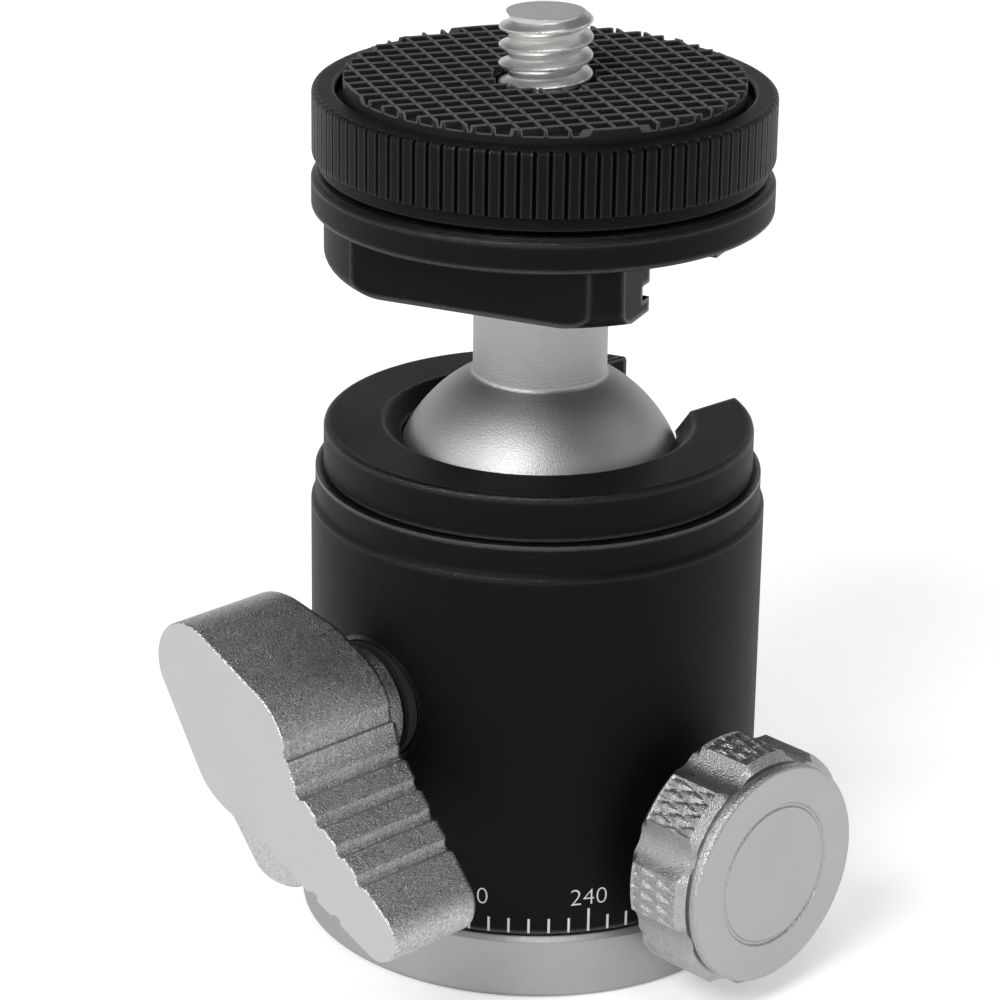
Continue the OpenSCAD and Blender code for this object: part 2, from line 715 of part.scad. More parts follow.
// Everything on the platform is turned with it
module on_platform() {
  rotate([0, 0, platform_turn]) children();
}

module platform() {
  r = flange_d / 2;
  c = flange_chamfer;
  color(black_c) on_platform() difference() {
    union() {
      translate([0, 0, flange_z]) chamfered_disc(flange_d, flange_h, c / 2, c);
      intersection() {
        rotate_extrude() polygon(concat(
          [[0, block_z]],
          arc([block_d / 2 - block_edge, block_z + block_edge], block_edge, -90, 0, 2 * edge_steps),
          [[block_d / 2, flange_z + c], [0, flange_z + c]]));
        translate([-block_w / 2, -block_end, block_z]) cube([block_w, block_end + r, block_h + c]);
      }
    }
    translate([-channel_w / 2, -block_end - over, block_z - over])
      cube([channel_w, block_end - channel_end + over, block_h + over]);
    translate([-channel_w / 2 - undercut, -block_end - over, block_z + lip_t])
      cube([channel_w + 2 * undercut, block_end - channel_end + over, undercut_h]);
    translate([0, 0, block_z - over]) cylinder(d = stud_shank_d, h = flange_top_z - block_z + 2 * over);
  }
}

// Grooves of the thread as rings, drawn from the nose down to the pad
module camera_stud() {
  crest = stud_pitch * crest_flat_share / 2;
  root = stud_pitch * root_flat_share / 2;
  thread_z = pad_top_z + face_gap;
  first = stud_top_z - stud_nose - stud_pitch / 2;
  turns = floor((first - stud_pitch / 2 + crest - thread_z) / stud_pitch) + 1;
  r = stud_d / 2;
  root_r = stud_root_d / 2;
  shank_r = stud_shank_d / 2;
  low = block_z - stud_depth;
  groove = [for (i = [0:turns - 1]) let (z = first - i * stud_pitch)
    [[r, z + stud_pitch / 2 - crest], [root_r, z + root], [root_r, z - root],
     [r, z - stud_pitch / 2 + crest]]];
  color(silver_c) rotate_extrude() polygon(concat(
    [[0, low], [0, stud_top_z], [stud_nose_d / 2, stud_top_z], [r, stud_top_z - stud_nose]],
    [for (g = groove) each g],
    [[r, thread_z], [shank_r, thread_z], [shank_r, low]]));
}

module disc_slip_washer() {
  color(nylon_c) translate([0, 0, flange_top_z + run_gap]) difference() {
    cylinder(d = washer_d, h = washer_t);
    translate([0, 0, -over]) cylinder(d = stud_clear_d, h = washer_t + 2 * over);
  }
}

module lock_disc() {
  pitch = 360 / knurl_count;
  land = knurl_land_share * pitch;
  r = disc_d / 2;
  edge = knurl_depth + run_gap;
  washer_z = flange_top_z + run_gap + washer_t + face_gap;
  color(black_c) difference() {
    union() {
      translate([0, 0, disc_z]) cylinder(d = neck_d, h = neck_h + knurl_depth);
      intersection() {
        translate([0, 0, knurl_z]) linear_extrude(height = disc_h) polygon([
          for (i = [0:knurl_count - 1]) let (a = pitch * i, low = a + (land + pitch) / 2) each [
            r * [cos(a), sin(a)],
            r * [cos(a + land), sin(a + land)],
            (r - knurl_depth) * [cos(low), sin(low)]]]);
        translate([0, 0, knurl_z]) chamfered_disc(disc_d + edge, disc_h, edge, edge);
      }
    }
    translate([0, 0, pad_z]) cylinder(d = rim_d, h = rim_h + over);
    translate([0, 0, disc_z - over]) cylinder(d = insert_d, h = disc_h + neck_h + over);
    translate([0, 0, disc_z - over]) cylinder(d = washer_d + 2 * face_gap, h = washer_z - disc_z + over);
  }
}

module lock_disc_insert() {
  from = flange_top_z + run_gap + washer_t + face_gap;
  color(brass_c) translate([0, 0, from]) difference() {
    cylinder(d = insert_d, h = pad_z - from);
    translate([0, 0, -over]) cylinder(d = stud_clear_d, h = pad_z - from + 2 * over);
  }
}

module rubber_pad() {
  color(rubber_c) translate([0, 0, pad_z]) difference() {
    chamfered_disc(pad_d, pad_t, 0, run_gap);
    translate([0, 0, -over]) cylinder(d = stud_d + 2 * pad_hole_gap, h = pad_t + 2 * over);
  }
}

base_foot();
tripod_bush();
pan_slip_ring();
housing();
housing_keeper_screws();
collar();
collar_lock_screw();
upper_seat();
lower_seat();
wedge_pusher();
main_clamp_screw();
main_knob();
main_knob_washer();
pan_clamp_screw();
pan_knob();
pan_knob_washer();
pan_brake_pad();
ball_liner();
ball_stem();
platform();
camera_stud();
disc_slip_washer();
lock_disc();
lock_disc_insert();
rubber_pad();
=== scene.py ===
"""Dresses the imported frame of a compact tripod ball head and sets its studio."""
import logging
import math
from dataclasses import dataclass, field, replace
from enum import Enum
from typing import Callable, Iterable, Optional, Sequence

import bmesh
import bpy
from mathutils import Matrix, Vector


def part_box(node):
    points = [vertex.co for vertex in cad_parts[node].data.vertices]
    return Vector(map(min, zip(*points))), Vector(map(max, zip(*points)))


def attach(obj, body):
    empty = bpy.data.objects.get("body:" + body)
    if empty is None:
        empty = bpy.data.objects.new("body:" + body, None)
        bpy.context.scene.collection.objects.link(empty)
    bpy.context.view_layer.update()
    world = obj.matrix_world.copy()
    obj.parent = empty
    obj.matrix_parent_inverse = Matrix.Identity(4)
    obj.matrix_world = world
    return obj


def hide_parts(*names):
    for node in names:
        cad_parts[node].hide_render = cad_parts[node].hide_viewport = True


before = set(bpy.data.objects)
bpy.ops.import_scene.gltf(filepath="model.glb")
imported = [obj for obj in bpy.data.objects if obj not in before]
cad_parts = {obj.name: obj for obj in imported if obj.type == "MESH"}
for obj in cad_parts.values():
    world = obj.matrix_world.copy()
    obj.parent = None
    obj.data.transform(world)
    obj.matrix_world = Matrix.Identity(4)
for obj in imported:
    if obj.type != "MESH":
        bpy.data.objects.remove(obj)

LOG = logging.getLogger("ball_head")

# Pieces are drawn in millimetres and stored in metres
MM = 0.001
MERGE = 1e-4
SMOOTH_ANGLE = math.radians(32)
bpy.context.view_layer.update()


class Lay(Enum):
    """The way that a piece's own +Z axis points in the frame."""

    UP = Matrix.Identity(3)
    MAIN = Matrix(((0, 0, 1), (1, 0, 0), (0, 1, 0)))
    PAN = Matrix(((1, 0, 0), (0, 0, -1), (0, 1, 0)))


class Carve(Enum):
    """What is kept where two solids meet."""

    CUT = "DIFFERENCE"
    JOIN = "UNION"
    COMMON = "INTERSECT"


@dataclass(frozen=True)
class Corner:
    """A corner of a turned outline: radius, height, how round it is, and in how many faces."""

    radius: float
    height: float
    ease: float = 0.0
    steps: int = 3


@dataclass(frozen=True)
class Extent:
    """The box of a CAD node at rest, in millimetres."""

    low: Vector
    high: Vector

    @classmethod
    def of(cls, node: str) -> "Extent":
        """Reads a node's box from the frame.

        Args:
            node: name of the CAD node.

        Returns:
            The node's lowest and highest corners.
        """
        low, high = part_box(node)
        return cls(low / MM, high / MM)

    @property
    def radius(self) -> float:
        """Half of the node's width across X."""
        return (self.high.x - self.low.x) / 2

    @property
    def bottom(self) -> float:
        """Height of the node's lowest point."""
        return self.low.z

    @property
    def top(self) -> float:
        """Height of the node's highest point."""
        return self.high.z


def blend_step(low: float, high: float, value: float) -> float:
    """Rises smoothly from 0 to 1 between two values.

    Args:
        low: value at which the result is 0.
        high: value at which the result is 1.
        value: value to place between them.

    Returns:
        A share from 0 to 1.
    """
    share = min(1.0, max(0.0, (value - low) / (high - low)))
    return share * share * (3 - 2 * share)


def polar(angle: float, reach: float) -> Vector:
    """Gives the point at an angle in degrees and a distance from the centre."""
    turn = math.radians(angle)
    return Vector((reach * math.cos(turn), reach * math.sin(turn)))


def merged(bm: bmesh.types.BMesh) -> bmesh.types.BMesh:
    """Joins doubled vertices and turns all faces outwards."""
    bmesh.ops.remove_doubles(bm, verts=bm.verts, dist=MERGE)
    bmesh.ops.recalc_face_normals(bm, faces=bm.faces)
    return bm


def bevel_edges(bm: bmesh.types.BMesh, edges: Sequence[bmesh.types.BMEdge], width: float,
                segments: int = 3) -> None:
    """Rounds edges in place.

    Args:
        bm: mesh that holds the edges.
        edges: edges to round.
        width: distance from the edge to where the rounding starts.
        segments: number of faces across the rounding.
    """
    if edges:
        bmesh.ops.bevel(bm, geom=list(edges), offset=width, offset_type="OFFSET", segments=segments,
                        profile=0.5, affect="EDGES", material=-1, clamp_overlap=False)


def sharp_edges(bm: bmesh.types.BMesh, where: Callable[[Vector], bool],
                angle: float = 35.0) -> list[bmesh.types.BMEdge]:
    """Finds the sharp edges in a region.

    Args:
        bm: mesh to search.
        where: tells whether a point lies in the region.
        angle: least angle between an edge's faces, in degrees.

    Returns:
        Edges whose faces meet at more than the angle, with both ends in the region.
    """
    least = math.radians(angle)
    return [e for e in bm.edges if e.is_manifold and e.calc_face_angle(0.0) > least
            and where(e.verts[0].co) and where(e.verts[1].co)]


def turned(corners: Sequence[Corner], steps: int = 160) -> bmesh.types.BMesh:
    """Turns an outline about Z and rounds the corners that ask for it.

    Args:
        corners: outline from the axis or round a hollow ring, in order.
        steps: number of faces round the piece.

    Returns:
        A closed mesh.
    """
    bm = bmesh.new()
    verts = [bm.verts.new((c.radius, 0, c.height)) for c in corners]
    ring = corners[0].radius > MERGE
    pairs = list(zip(verts, verts[1:])) + ([(verts[-1], verts[0])] if ring else [])
    edges = [bm.edges.new(pair) for pair in pairs]
    bmesh.ops.spin(bm, geom=verts + edges, cent=(0, 0, 0), axis=(0, 0, 1), dvec=(0, 0, 0),
                   angle=math.tau, steps=steps, use_merge=True, use_duplicate=False)
    merged(bm)
    for corner in (c for c in corners if c.ease > 0):
        def on_ring(point: Vector, c: Corner = corner) -> bool:
            """Tells whether a point lies on this corner's ring."""
            return abs(math.hypot(point.x, point.y) - c.radius) < MERGE * 5 and abs(point.z - c.height) < MERGE * 5
        bevel_edges(bm, sharp_edges(bm, on_ring, 5.0), corner.ease, corner.steps)
    return bm


def box_shape(low: Sequence[float], high: Sequence[float]) -> bmesh.types.BMesh:
    """Makes a box between two corners, as a cutter or a blank."""
    bm = bmesh.new()
    size = [b - a for a, b in zip(low, high)]
    middle = [(a + b) / 2 for a, b in zip(low, high)]
    bmesh.ops.create_cube(bm, size=1.0, matrix=Matrix.Translation(middle) @ Matrix.Diagonal((*size, 1.0)))
    return bm


def prism(outline: Sequence[Vector], low: float, high: float) -> bmesh.types.BMesh:
    """Extrudes a flat outline along Z.

    Args:
        outline: points of the outline, in order.
        low: height at which the prism starts.
        high: height at which it ends.

    Returns:
        A closed mesh.
    """
    bm = bmesh.new()
    face = bm.faces.new([bm.verts.new((p.x, p.y, low)) for p in outline])
    out = bmesh.ops.extrude_face_region(bm, geom=[face])
    moved = [v for v in out["geom"] if isinstance(v, bmesh.types.BMVert)]
    bmesh.ops.translate(bm, verts=moved, vec=(0, 0, high - low))
    return merged(bm)


def cut_plane(bm: bmesh.types.BMesh, point: Vector, normal: Vector) -> None:
    """Removes what lies on the normal's side of a plane and closes the cut."""
    geom = list(bm.verts) + list(bm.edges) + list(bm.faces)
    out = bmesh.ops.bisect_plane(bm, geom=geom, dist=MERGE / 10, plane_co=point, plane_no=normal, clear_outer=True)
    rim = [e for e in out["geom_cut"] if isinstance(e, bmesh.types.BMEdge)]
    bmesh.ops.holes_fill(bm, edges=[e for e in rim if e.is_boundary], sides=0)
    merged(bm)


def scratch_object(bm: bmesh.types.BMesh, name: str) -> bpy.types.Object:
    """Puts a mesh into the scene for as long as a boolean needs it."""
    mesh = bpy.data.meshes.new(name)
    bm.to_mesh(mesh)
    bm.free()
    piece = bpy.data.objects.new(name, mesh)
    bpy.context.scene.collection.objects.link(piece)
    return piece


def carved(bm: bmesh.types.BMesh, tool: bmesh.types.BMesh, how: Carve = Carve.CUT) -> bmesh.types.BMesh:
    """Cuts, joins or intersects two solids.

    Args:
        bm: the solid that is worked on; it is used up.
        tool: the second solid; it is used up.
        how: what is kept.

    Returns:
        The resulting mesh.
    """
    work, cutter = scratch_object(bm, "carve_work"), scratch_object(tool, "carve_tool")
    modifier = work.modifiers.new("carve", "BOOLEAN")
    modifier.object = cutter
    modifier.operation = how.value
    modifier.solver = "EXACT"
    result = bmesh.new()
    result.from_object(work, bpy.context.evaluated_depsgraph_get())
    for piece in (work, cutter):
        mesh = piece.data
        bpy.data.objects.remove(piece)
        bpy.data.meshes.remove(mesh)
    return merged(result)


def rod(axis_radius: float, low: float, high: float, lay: Lay, height: float, turn: float = 0.0,
        steps: int = 96) -> bmesh.types.BMesh:
    """Makes a plain round cutter that points out of the head's side.

    Args:
        axis_radius: radius of the cutter.
        low: distance from the pan axis at which it starts.
        high: distance at which it ends.
        lay: side that it points to.
        height: height of its axis.
        turn: further turn about the pan axis, in degrees.
        steps: number of sides.

    Returns:
        A closed mesh.
    """
    bm = turned([Corner(0, low), Corner(axis_radius, low), Corner(axis_radius, high), Corner(0, high)], steps)
    side = lay.value.to_4x4() @ (Matrix.Rotation(math.pi, 4, "X") if lay is Lay.MAIN else Matrix.Identity(4))
    bm.transform(Matrix.Rotation(math.radians(turn), 4, "Z") @ Matrix.Translation((0, 0, height)) @ side)
    return bm


@dataclass(frozen=True)
class Thread:
    """A helical thread about Z."""

    crest: float
    root: float
    pitch: float
    steps: int = 48
    crest_share: float = 0.30

    def profile(self) -> list[tuple[float, float]]:
        """Gives one pitch of the thread as radii and heights, from one root to the next."""
        half = self.crest_share / 2
        depth = self.crest - self.root
        shares = [(0.0, 0.0), (0.10, 0.0), (0.20, 0.16), (0.5 - half, 0.84), (0.5 - half / 3, 1.0),
                  (0.5 + half / 3, 1.0), (0.5 + half, 0.84), (0.80, 0.16), (0.90, 0.0), (1.0, 0.0)]
        return [(self.root + depth * rise, self.pitch * share) for share, rise in shares]

    def surface(self, low: float, high: float) -> bmesh.types.BMesh:
        """Winds the profile up and cuts it off flat.

        Args:
            low: height at which the thread starts.
            high: height at which it ends.

        Returns:
            An open tube with a thread on it.
        """
        bm = bmesh.new()
        start = low - 2 * self.pitch
        verts = [bm.verts.new((r, 0, start + z)) for r, z in self.profile()]
        edges = [bm.edges.new(pair) for pair in zip(verts, verts[1:])]
        turns = math.ceil((high - low) / self.pitch) + 3
        bmesh.ops.spin(bm, geom=verts + edges, cent=(0, 0, 0), axis=(0, 0, 1),
                       dvec=(0, 0, self.pitch / self.steps), angle=math.tau * turns, steps=self.steps * turns,
                       use_merge=False, use_duplicate=False)
        bmesh.ops.remove_doubles(bm, verts=bm.verts, dist=MERGE)
        for height, way in ((low, -1), (high, 1)):
            bmesh.ops.bisect_plane(bm, geom=list(bm.verts) + list(bm.edges) + list(bm.faces), dist=MERGE / 10,
                                   plane_co=(0, 0, height), plane_no=(0, 0, way), clear_outer=True)
        return bm

    def stud(self, low: float, high: float, nose: float) -> bmesh.types.BMesh:
        """Makes a threaded stud with a chamfered end.

        Args:
            low: height at which the stud starts.
            high: height of its flat end.
            nose: length of the end's chamfer.

        Returns:
            A closed mesh.
        """
        bm = self.surface(low, high)
        for vert in bm.verts:
            limit = self.crest - nose + (high - vert.co.z)
            reach = math.hypot(vert.co.x, vert.co.y)
            if reach > limit:
                vert.co.x *= limit / reach
                vert.co.y *= limit / reach
        bmesh.ops.holes_fill(bm, edges=[e for e in bm.edges if e.is_boundary], sides=0)
        return merged(bm)


def sectored(levels: Sequence[tuple[float, float]], angles: Sequence[float], count: int,
             radius_at: Callable[[float, int], float]) -> bmesh.types.BMesh:
    """Makes a turned piece whose side repeats a pattern.

    Args:
        levels: radii and heights of the outline, from its start on the axis or bore to its end.
        angles: angles of one sector's columns, in degrees, from 0 to the sector's end.
        count: number of sectors.
        radius_at: gives the radius of a level at an angle.

    Returns:
        A closed mesh.
    """
    bm = bmesh.new()
    column = [bm.verts.new((*polar(angles[0], radius_at(angles[0], i)), z)) for i, (_, z) in enumerate(levels)]
    edges = [bm.edges.new(pair) for pair in zip(column, column[1:])]
    for angle in angles[1:]:
        out = bmesh.ops.extrude_edge_only(bm, edges=edges)["geom"]
        fresh = {v for v in out if isinstance(v, bmesh.types.BMVert)}
        edges = [e for e in out if isinstance(e, bmesh.types.BMEdge) and e.verts[0] in fresh and e.verts[1] in fresh]
        column = [next(e.other_vert(v) for e in v.link_edges if e.other_vert(v) in fresh) for v in column]
        for level, vert in enumerate(column):
            vert.co = Vector((*polar(angle, radius_at(angle, level)), levels[level][1]))
    sector = list(bm.verts) + list(bm.edges) + list(bm.faces)
    step = math.tau / count
    bmesh.ops.spin(bm, geom=sector, cent=(0, 0, 0), axis=(0, 0, 1), dvec=(0, 0, 0), angle=step * (count - 1),
                   steps=count - 1, use_merge=False, use_duplicate=True)
    merged(bm)
    bmesh.ops.holes_fill(bm, edges=[e for e in bm.edges if e.is_boundary], sides=0)
    return merged(bm)


def as_piece(bm: bmesh.types.BMesh, name: str, body: str, material: bpy.types.Material,
             replaces: Iterable[str] = (), smooth: float = SMOOTH_ANGLE) -> bpy.types.Object:
    """Turns a mesh in millimetres into a dressed piece that rides on a body.

    Args:
        bm: the mesh; it is used up.
        name: name of the piece.
        body: CAD body that it rides on.
        material: its finish.
        replaces: CAD nodes that it stands for.
        smooth: largest angle across which the surface is shaded smooth.

    Returns:
        The piece.
    """
    bm.transform(Matrix.Scale(MM, 4))
    mesh = bpy.data.meshes.new(name)
    bm.to_mesh(mesh)
    bm.free()
    mesh.shade_smooth()
    mesh.set_sharp_from_angle(angle=smooth)
    mesh.materials.append(material)
    piece = bpy.data.objects.new(name, mesh)
    bpy.context.scene.collection.objects.link(piece)
    normals = piece.modifiers.new("even_normals", "WEIGHTED_NORMAL")
    normals.keep_sharp = True
    normals.weight = 60
    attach(piece, body)
    for node in replaces:
        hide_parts(node)
    LOG.info("%s: %d faces on body %s", name, len(mesh.polygons), body)
    return piece


class Graph:
    """Short calls for building a node tree."""

    def __init__(self, tree: bpy.types.NodeTree) -> None:
        """Keeps the tree that the calls add to."""
        self.tree = tree

    def node(self, kind: str, **settings: object) -> bpy.types.Node:
        """Adds a node and sets its properties."""
        made = self.tree.nodes.new(kind)
        for key, value in settings.items():
            setattr(made, key, value)
        return made

    def link(self, source: bpy.types.NodeSocket, target: bpy.types.NodeSocket) -> None:
        """Links two sockets."""
        self.tree.links.new(source, target)

    def math(self, operation: str, *values: object) -> bpy.types.NodeSocket:
        """Adds a Math node.

        Args:
            operation: the node's operation.
            values: sockets or numbers for its inputs.

        Returns:
            The node's output.
        """
        made = self.node("ShaderNodeMath", operation=operation)
        for socket, value in zip(made.inputs, values):
            if isinstance(value, bpy.types.NodeSocket):
                self.link(value, socket)
            else:
                socket.default_value = value
        return made.outputs[0]

    def spread(self, value: bpy.types.NodeSocket, low: float, high: float, to_low: float,
               to_high: float) -> bpy.types.NodeSocket:
        """Maps a range of values to another range, without running past it."""
        made = self.node("ShaderNodeMapRange")
        made.clamp = True
        self.link(value, made.inputs["Value"])
        for key, number in (("From Min", low), ("From Max", high), ("To Min", to_low), ("To Max", to_high)):
            made.inputs[key].default_value = number
        return made.outputs["Result"]


def new_group(name: str, inputs: dict[str, float], outputs: Sequence[str]) -> tuple[Graph, bpy.types.Node,
                                                                                   bpy.types.Node]:
    """Starts a shader node group with a Vector input and number sockets.

    Args:
        name: name of the group.
        inputs: names and defaults of its number inputs.
        outputs: names of its number outputs.

    Returns:
        The group's graph, its input node and its output node.
    """
    tree = bpy.data.node_groups.new(name, "ShaderNodeTree")
    tree.interface.new_socket("Vector", in_out="INPUT", socket_type="NodeSocketVector")
    for key, value in inputs.items():
        socket = tree.interface.new_socket(key, in_out="INPUT", socket_type="NodeSocketFloat")
        socket.default_value = value
    for key in outputs:
        tree.interface.new_socket(key, in_out="OUTPUT", socket_type="NodeSocketFloat")
    graph = Graph(tree)
    return graph, graph.node("NodeGroupInput"), graph.node("NodeGroupOutput")


def grain_group() -> bpy.types.NodeTree:
    """Builds the dimples that blasting leaves, as a height and a mask of the brightest grains."""
    graph, source, sink = new_group("blasted_grain", {"Grains per metre": 6000.0}, ("Height", "Sparkle", "Tone"))
    cells = graph.node("ShaderNodeTexVoronoi", feature="F1")
    noise = graph.node("ShaderNodeTexNoise")
    noise.inputs["Detail"].default_value = 3.0
    for texture in (cells, noise):
        graph.link(source.outputs["Vector"], texture.inputs["Vector"])
        graph.link(source.outputs["Grains per metre"], texture.inputs["Scale"])
    height = graph.math("ADD", cells.outputs["Distance"], noise.outputs["Fac"])
    graph.link(height, sink.inputs["Height"])
    bright = graph.node("ShaderNodeSeparateColor")
    graph.link(cells.outputs["Color"], bright.inputs["Color"])
    graph.link(graph.spread(bright.outputs[0], 0.86, 0.97, 0.0, 1.0), sink.inputs["Sparkle"])
    graph.link(bright.outputs[1], sink.inputs["Tone"])
    return graph.tree


def lines_group() -> bpy.types.NodeTree:
    """Builds the fine rings that a lathe leaves round a piece's own Z axis."""
    graph, source, sink = new_group("turning_lines", {"Lines per metre": 9000.0}, ("Height",))
    split = graph.node("ShaderNodeSeparateXYZ")
    graph.link(source.outputs["Vector"], split.inputs[0])
    squares = graph.math("ADD", graph.math("MULTIPLY", split.outputs[0], split.outputs[0]),
                         graph.math("MULTIPLY", split.outputs[1], split.outputs[1]))
    along = graph.math("ADD", graph.math("SQRT", squares), split.outputs[2])
    noise = graph.node("ShaderNodeTexNoise", noise_dimensions="1D")
    noise.inputs["Detail"].default_value = 2.0
    noise.inputs["Scale"].default_value = 1.0
    graph.link(graph.math("MULTIPLY", along, source.outputs["Lines per metre"]), noise.inputs["W"])
    graph.link(noise.outputs["Fac"], sink.inputs["Height"])
    return graph.tree


def handling_group() -> bpy.types.NodeTree:
    """Builds the broad, faint marks of handling."""
    graph, source, sink = new_group("handling", {"Patches per metre": 90.0}, ("Value",))
    noise = graph.node("ShaderNodeTexNoise")
    noise.inputs["Detail"].default_value = 5.0
    noise.inputs["Roughness"].default_value = 0.62
    graph.link(source.outputs["Vector"], noise.inputs["Vector"])
    graph.link(source.outputs["Patches per metre"], noise.inputs["Scale"])
    graph.link(noise.outputs["Fac"], sink.inputs["Value"])
    return graph.tree


def edge_group() -> bpy.types.NodeTree:
    """Builds a mask of the edges, broken up by a noise, where finishes paint a highlight into the colour and polish
    the surface.
    """
    graph, source, sink = new_group("edge_highlight_and_polish_mask", {"Edge width": 0.0002}, ("Mask",))
    near = graph.node("ShaderNodeAmbientOcclusion", samples=6, inside=True, only_local=True)
    graph.link(source.outputs["Edge width"], near.inputs["Distance"])
    noise = graph.node("ShaderNodeTexNoise")
    noise.inputs["Scale"].default_value = 1600.0
    noise.inputs["Detail"].default_value = 4.0
    graph.link(source.outputs["Vector"], noise.inputs["Vector"])
    open_share = graph.math("ADD", near.outputs["AO"], graph.math("MULTIPLY", noise.outputs["Fac"], 0.16))
    graph.link(graph.spread(open_share, 0.90, 1.04, 1.0, 0.0), sink.inputs["Mask"])
    return graph.tree


@dataclass
class Effects:
    """The node groups that all finishes share."""

    grain: bpy.types.NodeTree = field(default_factory=grain_group)
    lines: bpy.types.NodeTree = field(default_factory=lines_group)
    handling: bpy.types.NodeTree = field(default_factory=handling_group)
    edges: bpy.types.NodeTree = field(default_factory=edge_group)


@dataclass(frozen=True)
class Finish:
    """A surface finish: its colour and gloss, and the marks of its making.

    Sizes are in millimetres; depth values are heights of the bump.
    """

    name: str
    colour: tuple[float, float, float]
    roughness: float
    metallic: float = 0.0
    specular: float = 0.5
    grain_size: float = 0.12
    grain_depth: float = 0.0
    line_size: float = 0.1
    line_depth: float = 0.0
    sparkle: float = 0.0
    grain_tone: float = 0.0
    face_grain: float = 1.0
    handling: float = 0.1
    patch_size: float = 9.0
    # Along edges the colour is lightened into a painted highlight, and the polish lowers the roughness and makes the
    # edge metallic.
    edge_width: float = 0.0
    edge_lift: float = 0.0
    edge_polish: float = 0.0
    coat: float = 0.0

    def material(self, effects: Effects, lay: Lay = Lay.UP, centre: float = 0.0) -> bpy.types.Material:
        """Builds the material for pieces that lie one way.

        Args:
            effects: the shared node groups.
            lay: the way that the pieces' own axis points.
            centre: height of that axis's foot, in millimetres.

        Returns:
            The material.
        """
        made = bpy.data.materials.new(f"{self.name}_{lay.name.lower()}")
        made.use_nodes = True
        graph = Graph(made.node_tree)
        shader = made.node_tree.nodes["Principled BSDF"]
        shader.inputs["Metallic"].default_value = self.metallic
        shader.inputs["Specular IOR Level"].default_value = self.specular
        shader.inputs["Coat Weight"].default_value = self.coat
        place = graph.node("ShaderNodeMapping", vector_type="TEXTURE")
        place.inputs["Location"].default_value = (0, 0, centre * MM)
        place.inputs["Rotation"].default_value = lay.value.to_euler()
        graph.link(graph.node("ShaderNodeTexCoord").outputs["Object"], place.inputs["Vector"])
        where = place.outputs["Vector"]
        share = self._grain_share(graph, lay) if self.face_grain < 1 else None
        self._colour(graph, shader, effects, where, share)
        self._relief(graph, shader, effects, where, share)
        return made

    def _grain_share(self, graph: Graph, lay: Lay) -> bpy.types.NodeSocket:
        """Gives the share of the grain that shows: all on the flanks, less on faces square to the axis."""
        turn = graph.node("ShaderNodeMapping", vector_type="TEXTURE")
        turn.inputs["Rotation"].default_value = lay.value.to_euler()
        graph.link(graph.node("ShaderNodeTexCoord").outputs["Normal"], turn.inputs["Vector"])
        split = graph.node("ShaderNodeSeparateXYZ")
        graph.link(turn.outputs["Vector"], split.inputs[0])
        return graph.spread(graph.math("ABSOLUTE", split.outputs[2]), 0.80, 0.92, 1.0, self.face_grain)

    def _use(self, graph: Graph, tree: bpy.types.NodeTree, where: bpy.types.NodeSocket,
             amount: float) -> bpy.types.Node:
        """Places a shared group with its own value."""
        made = graph.node("ShaderNodeGroup", node_tree=tree)
        graph.link(where, made.inputs["Vector"])
        made.inputs[1].default_value = amount
        return made

    def _colour(self, graph: Graph, shader: bpy.types.Node, effects: Effects,
                where: bpy.types.NodeSocket, share: Optional[bpy.types.NodeSocket]) -> None:
        """Feeds the shader's colour and roughness, with a painted highlight lightened into the colour along edges.

        Args:
            graph: the material's graph.
            shader: the material's shader.
            effects: the shared node groups.
            where: the pattern's coordinates.
            share: the share of the grain that shows, where it varies.
        """
        marks = self._use(graph, effects.handling, where, 1000 / self.patch_size).outputs["Value"]
        shade = graph.node("ShaderNodeMix", data_type="RGBA", blend_type="MIX")
        shade.inputs["A"].default_value = (*[c * (1 - self.handling) for c in self.colour], 1)
        shade.inputs["B"].default_value = (*[min(1, c * (1 + self.handling)) for c in self.colour], 1)
        graph.link(graph.spread(marks, 0.3, 0.7, 0.0, 1.0), shade.inputs["Factor"])
        colour = shade.outputs["Result"]
        rough = graph.spread(marks, 0.3, 0.7, self.roughness * (1 + self.handling),
                             self.roughness * (1 - self.handling))
        # Painted highlight: the colour is lightened along edges; the polish lowers the roughness there and makes it
        # metallic.
        if self.edge_lift:
            edge_highlight_and_polish = self._use(graph, effects.edges, where, self.edge_width * MM).outputs["Mask"]
            lift = graph.node("ShaderNodeMix", data_type="RGBA", blend_type="MIX")
            lift.inputs["B"].default_value = (*[c + self.edge_lift * (1 - c) for c in self.colour], 1)
            graph.link(colour, lift.inputs["A"])
            graph.link(edge_highlight_and_polish, lift.inputs["Factor"])
            colour = lift.outputs["Result"]
            if self.edge_polish:
                rough = graph.math("SUBTRACT", rough, graph.math("MULTIPLY", edge_highlight_and_polish, self.edge_polish))
                graph.link(edge_highlight_and_polish, shader.inputs["Metallic"])
        if self.sparkle:
            grains = self._use(graph, effects.grain, where, 1000 / self.grain_size)
            amount = graph.math("MULTIPLY", grains.outputs["Sparkle"], self.sparkle)
            tone = graph.math("MULTIPLY", graph.math("SUBTRACT", grains.outputs["Tone"], 0.5), self.grain_tone)
            if share is not None:
                amount = graph.math("MULTIPLY", amount, share)
                tone = graph.math("MULTIPLY", tone, share)
            rough = graph.math("SUBTRACT", rough, amount)
            toned = graph.node("ShaderNodeVectorMath", operation="SCALE")
            graph.link(colour, toned.inputs[0])
            graph.link(graph.math("ADD", tone, 1.0), toned.inputs["Scale"])
            colour = toned.outputs["Vector"]
        graph.link(colour, shader.inputs["Base Color"])
        graph.link(rough, shader.inputs["Roughness"])

